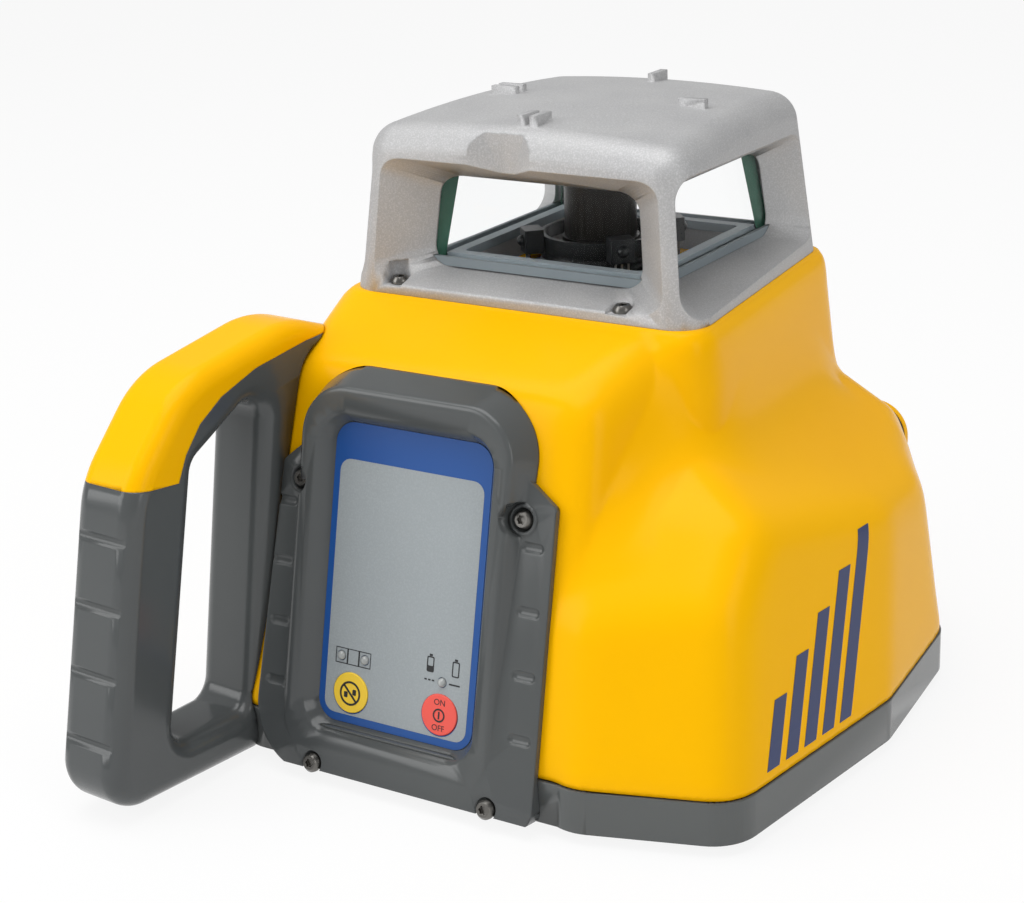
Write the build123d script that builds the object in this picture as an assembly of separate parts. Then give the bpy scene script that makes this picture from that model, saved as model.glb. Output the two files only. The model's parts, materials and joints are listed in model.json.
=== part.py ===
# Rotary laser level: yellow housing, cast lighthouse, keypad panel, carrying handle and the works inside.
# Millimetres and degrees. The rotor axis is the Z axis, the ground is z = 0 and the keypad faces -Y.
import os
from math import cos, radians, sin, sqrt, tan

from build123d import *

# Levels
base_bottom_z = 4.0
seam_z = 18.0
top_seam_z = 143.0

# Clearances
running_gap = 0.05
seat_gap = 0.15
cover_gap = 0.3
screw_gap = 0.25

# Housing walls: heading of the outward normal, reach from the rotor axis at the seam, lean from upright
housing_wall = 3.0
front_reach = 125.2
front_lean = 16.4
quarter_heading = -72.5
quarter_reach = 138.3
quarter_lean = 15.0
right_front_heading = -7.8
right_front_reach = 120.0
right_rear_heading = 5.5
right_rear_reach = 114.8
right_rear_lean = 5.2
side_lean = 8.5
rear_quarter_heading = 32.0
rear_quarter_reach = 113.5
rear_reach = 72.5
rear_lean = 3.0
left_rear_reach = 78.0
left_front_heading = -171.0
left_front_reach = 92.0
left_lean = 6.0
body_edge_r = 16.0
roof_z = 110.0
lobe_roof_z = 108.0
lobe_roof_fall = 30.0
lobe_roof_fall_back = 6.2
lobe_left_heading = -165.0
lobe_left_reach = -11.0
lobe_crown_back = 118.3
brow_heading = -78.0
low_brow_z = 83.5
low_brow_back = 29.5
low_brow_lean = 40.0
high_brow_z = 98.0
high_brow_back = 43.3
high_brow_lean = 56.0

# Tower under the lighthouse and the nose in front of it
tower_overhang = 3.5
tower_lean = 5.0
tower_edge_r = 12.0
nose_heading = -16.6
nose_reach = 89.0
nose_lean = 8.0
nose_fall = 22.0
nose_edge_r = 14.0
nose_overlap = 3.5

# Base pan, feet and tripod bush
pan_floor = 3.0
pan_wall = 3.0
boss_wall = 3.2
boss_roof = 6.0
boss_stand_off = 3.0
head_room = 0.6
foot_r = 9.0
foot_inset = 17.0
bush_flange_r = 32.0
bush_boss_r = 20.0
bush_height = 20.0
thread_r = 6.8
thread_depth = 15.0

# Lighthouse casting
lighthouse_half = 58.0
lighthouse_side = 59.9
lighthouse_side_heading = 5.7
lighthouse_side_lean = 6.5
lighthouse_height = 58.6
lighthouse_lean = 4.6
lighthouse_edge_r = 11.0
roof_edge_r = 10.5
roof_crown_r = 560.0
roof_thickness = 10.0
blade_thickness = 4.8
blade_lean = 5.5
pane_room = 0.7
funnel_depth = 26.0
sill_rise = 13.0
sill_height = 3.5
soffit_fall = 27.0
soffit_height = 46.5
window_corner_r = 8.5
well_half = 34.5
ledge_height = 7.5
sight_radius = 41.0
sight_side_radius = 35.0
sight_length = 9.5
sight_width = 2.6
sight_height = 3.0
sight_pitch = 4.6
notch_half = 6.5
notch_x = -6.0
notch_back = 8.0
notch_drop = 5.3
notch_rake = 8.0
notch_narrowing = 18.5
notch_flare = 55.0
lighthouse_screw_in = 16.0
lighthouse_screw_edge = 5.0
lighthouse_screw_shift = 4.5

# Glass and gasket
glass_thickness = 4.0
glass_half = 42.0
glass_lean = 8.5
gasket_height = 3.0
gasket_half = 43.5
gasket_groove = 1.5

# Keypad panel, in its own plane: across, up the slope, and out from the membrane's face
panel_x = -10.0
panel_reach = 119.5
panel_lean = 12.4
membrane_proud = 2.5
membrane_half = 29.3
membrane_low = 18.9
membrane_high = 115.7
membrane_thickness = 0.8
membrane_corner_r = 7.0
bezel_half = 41.6
bezel_high = 129.9
bezel_low = 1.0
bezel_rise = 6.0
bezel_corner_r = 19.0
bezel_draft = 25.0
recess_draft = 33.7
flange_left = 49.6
flange_left_low = 50.0
flange_right = 52.3
flange_right_low = 56.5
flange_high = 100.0
flange_rise = -0.3
shoulder_rise = 8.0
frame_skirt = 18.0
frame_floor = 2.4
frame_bottom_z = 5.0
key_well_half = 36.0
key_well_low = 13.5
key_well_high = 119.0
key_well_drop = 0.6
groove_count = 4
groove_pitch = 19.5
groove_drop = 13.0
groove_length = 8.6
groove_width = 3.6
groove_depth = 0.9
groove_left = 46.8
groove_right = 45.6
groove_drift = 1.1
boss_pocket_r = 5.5
boss_lip_r = 4.8
boss_lip = 0.6
frame_edge_r = 2.0
flange_left_foot_r = 22.0
flange_right_foot_r = 6.0
frame_screw_reach = 20.0
flange_screw_across = 41.5
flange_screw_drop = 5.0
low_screw_across = 33.0
low_screw_shift = 7.0
low_screw_up = 5.0

# Keys and indicators on the panel
button_r = 6.6
button_rise = 0.5
button_flange_r = 7.0
button_flange = 1.2
power_across = 17.0
manual_across = -17.0
button_up = 29.0
lens_r = 1.5
lens_pitch = 9.0
lens_pair_rise = 11.5
lens_single_rise = 10.3
board_thickness = 1.6
keypad_board_drop = 6.6
main_board_size = 80.0
main_board_x = -16.0
main_board_inset = 16.0

# Handle loop, in its own plane: out from the housing corner, and up
handle_x = -61.5
handle_turn = 5.0
handle_width = 26.0
handle_edge_r = 6.5
handle_reach = 72.9
handle_low = 0.4
handle_top = 142.0
handle_slope = 0.216
grip_depth = 27.5
post_slope = 0.17
post_reach = 9.8
opening_low = 18.0
opening_high = 125.0
cover_low = 104.0
cover_edge = 132.0
cover_steps = ((-30.0, 2.0), (-6.0, -1.0), (10.0, -6.0), (20.0, -12.0), (27.0, -20.0))
cover_nose = 31.0
cover_tilt = 8.0
handle_groove_count = 4
handle_groove_pitch = 21.0
handle_groove_length = 23.0
handle_groove_width = 3.8
handle_groove_depth = 1.3
handle_groove_low = 27.5
handle_root = 34.0
handle_kick = 4.0
handle_crest = 26.0
elbow_drop = 35.0
shoulder_drop = 8.0
heel_r = 14.0
elbow_r = 34.0
crest_r = 40.0
opening_r = 6.5
root_back = 20.0
root_inset = 3.0
root_depth = 16.0
root_top = 122.0
handle_screw_back = 26.0
handle_screw_low = 38.0
handle_screw_high = 88.0
handle_screw_sink = 6.0
handle_screw_length = 20.0

# Screws
screw_head_r = 3.2
screw_head = 2.4
screw_shank_r = 1.6
screw_length = 12.0
drive_r = 1.3
drive_depth = 1.2
screw_sink = 0.9

# Battery compartment: two tubes, one above the other, with two D cells each
cell_r = 17.1
cell_length = 61.5
cell_nub_r = 4.8
cell_nub = 1.5
tube_wall = 1.5
tube_clearance = 0.5
tube_x = 60.4
contact_thickness = 2.5
strip_thickness = 1.0
spring_length = 8.0
collar_wall = 3.0
collar_depth = 14.0
collar_end_y = 73.0
seal_thickness = 0.8
door_thickness = 3.6
door_swing_r = 3.0
hinge_pin_r = 1.5
catch_r = 9.0
catch_margin = 1.5
catch_height = 4.0
catch_stem_r = 3.0
catch_reach = 3.5
catch_tongue = 2.0

# Gimbal, laser and rotor on the Z axis
pivot_z = 80.0
gimbal_ring_r = 34.0
gimbal_bore_r = 27.5
gimbal_ring_height = 14.0
gimbal_pin_r = 2.5
upright_x = 38.5
upright_thickness = 4.0
upright_width = 24.0
bracket_base = 3.0
carrier_r = 21.5
carrier_height = 22.0
trunnion_reach = 25.0
trunnion_r = 6.0
stem_r = 12.0
laser_r = 8.0
laser_length = 40.0
collimator_depth = 6.0
lens_set_back = 0.5
tail_r = 10.5
tail_z = 48.0
carrier_flange_z = 116.0
carrier_flange_r = 29.0
carrier_flange = 4.0
bearing_r = 9.5
bearing_width = 5.0
spindle_r = 5.0
beam_bore_r = 2.5
gear_z = 123.0
gear_width = 6.0
gear_teeth = 40
pinion_teeth = 12
gear_module = 0.8
motor_r = 7.0
motor_length = 18.0
motor_shaft_r = 1.0
sensor_ring_z = 141.0
sensor_ring_r = 20.5
sensor_ring_height = 11.0
sensor_rim = 1.6
sensor_rim_height = 4.4
sensor_bore_r = 14.0
sensor_post_r = 2.5
sensor_post_radius = 21.5
sensor_flange_r = 26.5
sensor_flange = 2.5
sensor_groove_levels = (-2.2, 0.4, 3.0)
sensor_block_size = 6.5
sensor_block_height = 8.0
sensor_leg_height = 7.5
sensor_leg_r = 0.35
sensor_leg_pitch = 2.2
rotor_head_r = 12.2
rotor_head_z = 155.0
rotor_head_top = 184.0
beam_z = 170.0
prism_size = 12.0
aperture_r = 4.0
exit_window_sink = 1.2
exit_window_thickness = 2.0
collar_r = 13.0

# Levelling drives at the foot of the laser
level_z = 52.0
level_motor_r = 8.0
level_motor_length = 22.0
level_screw_r = 2.0
level_nut_size = 10.0
level_nut_gap = 0.6
level_motor_start = 46.0


# Leaning outward plane of a wall; a positive inset moves it into the body
def wall_plane(heading, reach, lean, inset, level=seam_z):
    across = cos(radians(lean))
    normal = Vector(cos(radians(heading)) * across, sin(radians(heading)) * across, sin(radians(lean)))
    point = Vector(reach * cos(radians(heading)), reach * sin(radians(heading)), level)
    return Plane(origin=point - normal * inset, z_dir=normal)


# What is left of a block behind each of the planes
def carve(block, planes):
    for plane in planes:
        block = split(block, bisect_by=plane, keep=Keep.BOTTOM)
    return block


def slab(low, high):
    span = 4 * (front_reach + rear_reach)
    return Pos(0, 0, (low + high) / 2) * Box(span, span, high - low)


# Walls of the middle of the housing and of the lobe on its right; with no lean they give the base outline
def body_walls(inset, right, lean_scale=1.0):
    return [
        wall_plane(-90, front_reach, front_lean * lean_scale, inset),
        wall_plane(0, right, 0, inset),
        wall_plane(90, rear_reach, rear_lean * lean_scale, inset),
        wall_plane(180, left_rear_reach, side_lean * lean_scale, inset),
        wall_plane(left_front_heading, left_front_reach, left_lean * lean_scale, inset),
    ]


def lobe_walls(inset, lean_scale=1.0):
    return [
        wall_plane(quarter_heading, quarter_reach, quarter_lean * lean_scale, inset),
        wall_plane(right_front_heading, right_front_reach, side_lean * lean_scale, inset),
        wall_plane(right_rear_heading, right_rear_reach, right_rear_lean * lean_scale, inset),
        wall_plane(rear_quarter_heading, rear_quarter_reach, side_lean * lean_scale, inset),
        wall_plane(90, rear_reach, rear_lean * lean_scale, inset),
        wall_plane(lobe_left_heading, lobe_left_reach, 0, inset),
    ]


def upper_edges(form, low):
    return form.edges().filter_by(lambda edge: edge.center().Z > low + 1)


# Edges of the middle that show: those on its right are inside the lobe and the nose
def outside_edges(edges):
    return edges.filter_by(lambda edge: edge.center().X < well_half / 2)


def body_form(inset):
    form = carve(slab(seam_z, roof_z - inset), body_walls(inset, well_half))
    return fillet(outside_edges(upper_edges(form, seam_z)), body_edge_r - inset)


# Lobe: a roof that falls to the right, rolled over the front by two brow planes
def lobe_form(inset):
    tower_half = lighthouse_half + tower_overhang
    normal = Vector(tan(radians(lobe_roof_fall)), tan(radians(lobe_roof_fall_back)), 1).normalized()
    crown = Vector(tower_half, lobe_crown_back - quarter_reach, lobe_roof_z)
    tops = [
        Plane(origin=crown - normal * inset, z_dir=normal),
        wall_plane(brow_heading, quarter_reach - low_brow_back, low_brow_lean, inset, low_brow_z),
        wall_plane(brow_heading, quarter_reach - high_brow_back, high_brow_lean, inset, high_brow_z),
    ]
    form = carve(slab(seam_z, roof_z - inset), lobe_walls(inset) + tops)
    return fillet(upper_edges(form, seam_z), body_edge_r - inset)


# Walls of the tower and the lighthouse, a little wider at the front than at the back
def four_walls(half, side, lean, side_lean, inset):
    rows = [
        (lighthouse_side_heading, side, side_lean),
        (90, half, lean),
        (180 - lighthouse_side_heading, side, side_lean),
        (270, half, lean),
    ]
    return [wall_plane(heading, reach, tilt, inset, top_seam_z) for heading, reach, tilt in rows]


# Tower whose rounded top edge meets the lighthouse flange
def tower_form(inset):
    round_up = sqrt(tower_edge_r**2 - (tower_edge_r - tower_overhang) ** 2)
    crown_z = top_seam_z - round_up + tower_edge_r
    half = lighthouse_half + tower_overhang
    side = lighthouse_side + tower_overhang
    walls = four_walls(half, side, tower_lean, tower_lean, inset)
    form = carve(slab(seam_z, crown_z - inset), walls)
    return fillet(upper_edges(form, seam_z), tower_edge_r - inset)


# Nose in front of the tower: it carries the keypad and falls forward from the lighthouse
def nose_form(inset):
    fall = radians(nose_fall)
    normal = Vector(0, -sin(fall), cos(fall))
    slope = Plane(origin=Vector(0, -lighthouse_half, top_seam_z) - normal * inset, z_dir=normal)
    tail_y = nose_overlap - lighthouse_half
    tail = Plane(origin=(0, tail_y, 0), z_dir=(0, 1, 0))
    walls = [
        wall_plane(-90, front_reach, front_lean, inset),
        wall_plane(left_front_heading, left_front_reach, left_lean, inset),
        wall_plane(nose_heading, nose_reach, nose_lean, inset),
        slope,
        tail,
    ]
    form = carve(slab(seam_z, 2 * top_seam_z), walls)
    rounded = upper_edges(form, seam_z).filter_by(lambda edge: edge.center().Y < tail_y - 1)
    return fillet(rounded, nose_edge_r - inset)


# Whole yellow form; an outset (negative inset) makes the cutter for what fits round it
def housing_form(inset):
    form = body_form(inset) + tower_form(inset) + nose_form(inset) + lobe_form(inset)
    top = Plane(origin=(0, 0, top_seam_z - max(inset, 0)), z_dir=(0, 0, 1))
    return carve(form, [top])


def base_form(inset, low):
    outline = None
    for walls in (body_walls(inset, lighthouse_half, 0.0), lobe_walls(inset, 0.0)):
        prism = carve(slab(low, seam_z), walls)
        uprights = prism.edges().filter_by(Axis.Z)
        if outline is None:
            uprights = outside_edges(uprights)
        prism = fillet(uprights, body_edge_r - inset)
        outline = prism if outline is None else outline + prism
    return outline


# Two wall planes' meeting point on the seam, moved in by an inset
def wall_corner(heading_a, reach_a, heading_b, reach_b, inset):
    ax = cos(radians(heading_a))
    ay = sin(radians(heading_a))
    bx = cos(radians(heading_b))
    by = sin(radians(heading_b))
    det = ax * by - ay * bx
    da = reach_a - inset
    db = reach_b - inset
    return ((da * by - db * ay) / det, (ax * db - bx * da) / det)


def corner_points(inset):
    return [
        wall_corner(quarter_heading, quarter_reach, right_front_heading, right_front_reach, inset),
        wall_corner(right_rear_heading, right_rear_reach, rear_quarter_heading, rear_quarter_reach, inset),
        wall_corner(90, rear_reach, 180, left_rear_reach, inset),
        wall_corner(left_front_heading, left_front_reach, -90, front_reach, inset),
    ]


def cylinder(radius, low, high, x=0.0, y=0.0):
    return Pos(x, y, (low + high) / 2) * Cylinder(radius, high - low)


def ring(outer, inner, low, high):
    return cylinder(outer, low, high) - cylinder(inner, low - 1, high + 1)


# Rod along X or Y between two stations
def rod(radius, start, end, along, x=0.0, y=0.0, z=0.0):
    turn = Rot(0, 90, 0) if along == "x" else Rot(-90, 0, 0)
    middle = (start + end) / 2
    place = Pos(middle, y, z) if along == "x" else Pos(x, middle, z)
    return place * turn * Cylinder(radius, abs(end - start))


# Pan-head screw standing on z = 0 with its shank below and a six-lobe style socket in the head
def pan_screw(length):
    head = Cylinder(screw_head_r, screw_head, align=(Align.CENTER, Align.CENTER, Align.MIN))
    head = fillet(head.edges().group_by(Axis.Z)[-1], screw_head * 0.4)
    socket = Pos(0, 0, screw_head - drive_depth) * extrude(RegularPolygon(drive_r, 6), drive_depth + 1)
    shank = Cylinder(screw_shank_r, length, align=(Align.CENTER, Align.CENTER, Align.MAX))
    return head - socket + shank


def screw_hole(length):
    return Cylinder(screw_shank_r + screw_gap, 2 * length)


# Cutter for a shallow round-ended groove along X in the plane z = 0
def scoop(length, width, depth):
    radius = (width**2 / 4 + depth**2) / (2 * depth)
    run = length - width
    cutter = Rot(0, 90, 0) * Cylinder(radius, run)
    for end in (-1, 1):
        cutter += Pos(end * run / 2, 0, 0) * Sphere(radius)
    return Pos(0, 0, radius - depth) * cutter


# Panel plane with its origin under the keypad's centre line, on the membrane's outer face
def panel_plane():
    lean = radians(panel_lean)
    normal = Vector(0, -cos(lean), sin(lean))
    ground = Vector(panel_x, -(panel_reach + seam_z * tan(lean)), 0)
    return Plane(origin=ground + normal * membrane_proud, x_dir=(1, 0, 0), z_dir=normal)


def panel_rect(half, low, high, corner):
    return Pos(0, (low + high) / 2) * RectangleRounded(2 * half, high - low, corner)


def on_panel(shape):
    return panel_plane().location * shape


def button_places():
    return {"power_button": power_across, "manual_button": manual_across}


def frame_screw_spots():
    return [
        (flange_screw_across, flange_high - flange_screw_drop),
        (-flange_screw_across, flange_high - flange_screw_drop),
        (low_screw_shift + low_screw_across, low_screw_up),
        (low_screw_shift - low_screw_across, low_screw_up),
    ]


# Spot on the flange's face, which leans with the housing's front wall
def flange_place(across, up):
    top = Pos(0, flange_high, flange_rise)
    return top * Rot(panel_lean - front_lean, 0, 0) * Pos(across, up - flange_high, 0)


# Grey front frame: flange and drafted bezel cut to the housing, with a floor behind the membrane
def make_front_frame(outer_form, base_cutter):
    flare = frame_skirt * tan(radians(bezel_draft))
    skirt_sketch = panel_rect(
        bezel_half + flare, bezel_low - flare, bezel_high + flare, bezel_corner_r + flare
    )
    bezel = extrude(skirt_sketch, frame_skirt + bezel_rise, taper=bezel_draft)
    crest = bezel.edges().group_by(Axis.Z)[-1]
    bezel = Pos(0, 0, -frame_skirt) * fillet(crest, frame_edge_r)
    outline = Polyline(
        (-flange_left_low, bezel_low),
        (flange_right_low, bezel_low),
        (flange_right, flange_high),
        (bezel_half - 1, flange_high + shoulder_rise),
        (1 - bezel_half, flange_high + shoulder_rise),
        (-flange_left, flange_high),
        close=True,
    )
    flange_face = make_face(outline)
    corners = flange_face.vertices().sort_by(Axis.Y)
    feet = corners[:2].sort_by(Axis.X)
    rounds = [(feet[0], flange_left_foot_r), (feet[1], flange_right_foot_r)]
    rounds += [(corner, frame_edge_r) for corner in corners[2:]]
    for corner, radius in rounds:
        target = flange_face.vertices().sort_by_distance(corner)[0]
        flange_face = fillet(target, radius)
    depth = 2 * frame_skirt
    frame = bezel + flange_place(0, 0) * Pos(0, 0, -depth) * extrude(flange_face, depth)
    groove = scoop(groove_length, groove_width, groove_depth)
    for start in (-groove_left, groove_right):
        for index in range(groove_count):
            up = flange_high - groove_drop - index * groove_pitch
            frame -= flange_place(start + index * groove_drift, up) * groove
    for across, up in frame_screw_spots()[:2]:
        spot = flange_place(across, up)
        frame -= spot * extrude(Circle(boss_pocket_r), bezel_rise)
        frame += spot * extrude(Circle(boss_lip_r), boss_lip)
    frame = on_panel(frame) - outer_form - base_cutter - handle_block()
    frame = carve(frame, [Plane(origin=(0, 0, frame_bottom_z), z_dir=(0, 0, -1))])
    floor_back = membrane_thickness + frame_floor
    floor_sketch = panel_rect(key_well_half, key_well_low, key_well_high, membrane_corner_r)
    floor = Pos(0, 0, -floor_back) * extrude(floor_sketch, floor_back + bezel_rise - key_well_drop)
    recess_sketch = panel_rect(
        membrane_half + seat_gap, membrane_low - seat_gap, membrane_high + seat_gap, membrane_corner_r
    )
    recess = extrude(recess_sketch, bezel_rise + 1, taper=-recess_draft)
    recess += Pos(0, 0, -membrane_thickness) * extrude(recess_sketch, membrane_thickness)
    frame = frame + (on_panel(floor) - base_cutter) - on_panel(recess)
    for across in button_places().values():
        hole = Pos(across, button_up, -floor_back) * Cylinder(button_r + seat_gap, 4 * floor_back)
        frame -= on_panel(hole)
    for across, up in lens_spots():
        hole = Pos(across, up, -floor_back) * Cylinder(lens_r + seat_gap, 4 * floor_back)
        frame -= on_panel(hole)
    for across, up in frame_screw_spots():
        seat = flange_place(across, up) * Pos(0, 0, -screw_sink)
        well = seat * Cylinder(
            screw_head_r + head_room, 2 * frame_screw_reach, align=(Align.CENTER, Align.CENTER, Align.MIN)
        )
        frame -= on_panel(well + seat * screw_hole(frame_screw_reach))
    return frame


def lens_spots():
    pair_up = button_up + lens_pair_rise
    return [
        (manual_across - lens_pitch / 2, pair_up),
        (manual_across + lens_pitch / 2, pair_up),
        (power_across, button_up + lens_single_rise),
    ]


def make_membrane():
    sheet_sketch = panel_rect(membrane_half, membrane_low, membrane_high, membrane_corner_r)
    sheet = Pos(0, 0, -membrane_thickness) * extrude(sheet_sketch, membrane_thickness)
    for across in button_places().values():
        sheet -= Pos(across, button_up, 0) * Cylinder(button_r + seat_gap, 4 * membrane_thickness)
    for across, up in lens_spots():
        sheet -= Pos(across, up, 0) * Cylinder(lens_r + seat_gap, 4 * membrane_thickness)
    return on_panel(sheet)


def make_button(across):
    floor_back = membrane_thickness + frame_floor
    stem_low = -floor_back - seat_gap - button_flange
    cap = cylinder(button_r, stem_low, button_rise)
    cap = fillet(cap.edges().group_by(Axis.Z)[-1], button_rise * 0.8)
    cap += cylinder(button_flange_r, stem_low, stem_low + button_flange)
    return on_panel(Pos(across, button_up, 0) * cap)


def make_lenses():
    board_top = -keypad_board_drop
    lenses = []
    for across, up in lens_spots():
        lens = cylinder(lens_r, board_top, 0) + Sphere(lens_r)
        lenses.append(on_panel(Pos(across, up, 0) * lens))
    return lenses


def make_keypad_board():
    half = membrane_half - 2
    board = panel_rect(half, membrane_low + 2, membrane_high - 6, 3)
    return on_panel(Pos(0, 0, -keypad_board_drop - board_thickness) * extrude(board, board_thickness))


# Yellow shell with its front window, lighthouse opening, battery collar and screw bosses
def make_upper_housing(outer):
    shell = outer - housing_form(housing_wall)
    floor_depth = membrane_thickness + frame_floor
    hole = panel_rect(
        key_well_half + cover_gap, key_well_low - cover_gap, key_well_high + cover_gap, membrane_corner_r
    )
    shell -= on_panel(Pos(0, 0, -housing_wall - 12) * extrude(hole, housing_wall + 24 + floor_depth))
    shell -= Pos(0, 0, top_seam_z) * Box(2 * well_half, 2 * well_half, 8 * housing_wall)
    shell += battery_collar(Keep.TOP)
    for ear in make_hinge_ears():
        shell += ear
    shell -= battery_opening()
    for x, y in corner_points(boss_inset()):
        high = seam_z + screw_length + boss_roof
        rib = Vector(x, y, 0).normalized() * boss_inset()
        boss = cylinder(boss_r(), seam_z, high, x, y)
        for share in (0.5, 1.0):
            boss += cylinder(boss_r() / 2, seam_z, high, x + share * rib.X, y + share * rib.Y)
        shell = shell + (boss & outer) - Pos(x, y, seam_z) * screw_hole(screw_length)
    for x, y in lighthouse_screw_spots():
        shell -= Pos(x, y, top_seam_z) * screw_hole(screw_length)
    for across, up in frame_screw_spots():
        if up > seam_z:
            shell -= on_panel(flange_place(across, up) * screw_hole(frame_screw_reach))
    for y, z in handle_screw_spots():
        shell -= Pos(handle_x, y, z) * Rot(0, 90, 0) * screw_hole(2 * screw_length)
    return shell


def boss_r():
    return screw_shank_r + boss_wall


def boss_inset():
    return pan_wall + boss_r() + boss_stand_off


def make_base_pan():
    floor_z = base_bottom_z + pan_floor
    pan = base_form(0, base_bottom_z) - (base_form(pan_wall, floor_z))
    pan = pan + battery_collar(Keep.BOTTOM) - battery_opening()
    pan -= cylinder(bush_boss_r + seat_gap, 0, floor_z + 1)
    for x, y in corner_points(boss_inset()):
        pan += cylinder(boss_r(), base_bottom_z, seam_z, x, y)
        pan -= cylinder(screw_head_r + head_room, 0, base_bottom_z + screw_head + head_room, x, y)
        pan -= Pos(x, y, base_bottom_z) * screw_hole(seam_z)
    for across, up in frame_screw_spots():
        if up < seam_z:
            pan -= on_panel(flange_place(across, up) * screw_hole(frame_screw_reach))
    return pan


def make_base_screws():
    head_z = base_bottom_z + screw_head + head_room
    screws = []
    for x, y in corner_points(boss_inset()):
        screws.append(Pos(x, y, head_z) * Rot(180, 0, 0) * pan_screw(screw_length + 4))
    return screws


def foot_spots():
    return corner_points(foot_inset)


def make_feet():
    feet = []
    for x, y in foot_spots():
        foot = cylinder(foot_r, 0, base_bottom_z, x, y)
        feet.append(fillet(foot.edges().group_by(Axis.Z)[0], base_bottom_z * 0.3))
    return feet


def make_tripod_bush():
    bush = cylinder(bush_flange_r, 0, base_bottom_z)
    bush = chamfer(bush.edges().group_by(Axis.Z)[0], base_bottom_z * 0.2)
    bush += cylinder(bush_boss_r, base_bottom_z, bush_height)
    return bush - cylinder(thread_r, -1, thread_depth)


def lighthouse_screw_spots():
    across = lighthouse_half - lighthouse_screw_in
    out = lighthouse_half - lighthouse_screw_edge
    shift = lighthouse_screw_shift
    return [(-across - shift, -out), (across - shift, -out), (across + shift, out), (shift - across, out)]


def screw_seat_z():
    return top_seam_z + sill_height - screw_sink


# Level seat for a screw, cut into the sloping sill and open to the outside
def screw_slot(x, y):
    width = 2 * (screw_head_r + head_room)
    low = screw_seat_z()
    high = low + 3 * screw_head
    run = lighthouse_half
    end = Pos(x, y + run / 2 * (1 if y > 0 else -1), (low + high) / 2)
    return cylinder(width / 2, low, high, x, y) + end * Box(width, run, high - low)


# One flared window: side walls along the diagonals, sloping sill and soffit, rounded edges
def window_funnel(quarter):
    edge_y = lighthouse_side if quarter % 2 else lighthouse_half
    outer_y = edge_y + 20
    inner_y = edge_y - funnel_depth
    middle = (outer_y + inner_y) / 2
    block = Pos(0, -middle, top_seam_z + lighthouse_height / 2)
    block = block * Box(4 * lighthouse_half, outer_y - inner_y, 2 * lighthouse_height)
    sill = radians(sill_rise)
    soffit = radians(soffit_fall)
    planes = [
        Plane(origin=(0, -edge_y, top_seam_z + sill_height), z_dir=(0, sin(sill), -cos(sill))),
        Plane(origin=(0, -edge_y, top_seam_z + soffit_height), z_dir=(0, sin(soffit), cos(soffit))),
    ]
    for side in (-1, 1):
        beside = Vector(side, 1, 0).normalized()
        planes.append(Plane(origin=beside * (-blade_thickness / 2), z_dir=beside))
    funnel = carve(block, planes)
    long_edges = funnel.edges().filter_by(lambda edge: abs(edge.tangent_at(0.5).Y) > 0.4)
    return fillet(long_edges, window_corner_r)


def cast_frustum(low, high):
    walls = four_walls(lighthouse_half, lighthouse_side, lighthouse_lean, lighthouse_side_lean, 0)
    return carve(slab(low, high), walls)


def lighthouse_top_z():
    return top_seam_z + lighthouse_height


def make_lighthouse():
    top = lighthouse_top_z()
    body = cast_frustum(top_seam_z, top + 10)
    uprights = body.edges().filter_by(lambda edge: abs(edge.tangent_at(0.5).Z) > 0.5)
    body = fillet(uprights, lighthouse_edge_r)
    body = body & Pos(0, 0, top - roof_crown_r) * Sphere(roof_crown_r)
    rim = body.edges().filter_by(lambda edge: edge.center().Z > top_seam_z + lighthouse_height / 2)
    rim = rim.filter_by(lambda edge: abs(edge.tangent_at(0.5).Z) < 0.5)
    body = fillet(rim, roof_edge_r)
    ledge_z = top_seam_z + ledge_height
    body -= glass_frustum(glass_half + pane_room, blade_lean, ledge_z, top - roof_thickness)
    seal_half = gasket_half + seat_gap
    body -= Pos(0, 0, ledge_z + gasket_height / 2 + seat_gap) * Box(
        2 * seal_half, 2 * seal_half, gasket_height + 2 * seat_gap
    )
    body -= Pos(0, 0, ledge_z) * Box(2 * well_half, 2 * well_half, 4 * ledge_height)
    for quarter in range(4):
        body -= Rot(0, 0, 90 * quarter) * window_funnel(quarter)
    for x, y in lighthouse_screw_spots():
        body -= screw_slot(x, y)
        body -= Pos(x, y, screw_seat_z()) * screw_hole(screw_length)
    body += sight_ridges(top)
    return body - front_notch(top)


# Pocket in the roof's front edge: an upright floor between two flared sides that close in downward
def front_notch(top):
    crown = Vector(notch_x, notch_back - lighthouse_half, top - notch_drop)
    rake = radians(notch_rake)
    planes = [Plane(origin=crown, z_dir=(0, cos(rake), sin(rake)))]
    for side in (-1, 1):
        corner = crown + Vector(side * notch_half, 0, 0)
        along = Vector(-side * tan(radians(notch_narrowing)), tan(rake), -1)
        outward = Vector(side * tan(radians(notch_flare)), -1, 0)
        normal = outward.cross(along) * side
        planes.append(Plane(origin=corner, z_dir=normal))
    block = Pos(crown.X, crown.Y, crown.Z) * Box(8 * notch_half, 4 * notch_half, 4 * notch_half)
    return carve(block, planes)


# Sighting ridges: pairs at the front and left, single ones at the back and right
def sight_ridges(top):
    sag = roof_crown_r - sqrt(roof_crown_r**2 - sight_radius**2)
    low = top - 2 * sag
    bar_height = sag + sight_height
    bar = Pos(0, 0, low + bar_height / 2) * Box(sight_width, sight_length, bar_height)
    cross_bar = Rot(0, 0, 90) * bar
    ridges = Pos(0, sight_radius, 0) * bar + Pos(sight_side_radius, 0, 0) * cross_bar
    for side in (-1, 1):
        ridges += Pos(side * sight_pitch / 2, -sight_radius, 0) * bar
        ridges += Pos(-sight_side_radius, side * sight_pitch / 2, 0) * cross_bar
    return ridges


def gasket_z():
    return top_seam_z + ledge_height


def glass_frustum(half, lean, low, high):
    walls = [wall_plane(heading, half, lean, 0, glass_low_z()) for heading in (0, 90, 180, 270)]
    return carve(slab(low, high), walls)


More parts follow.
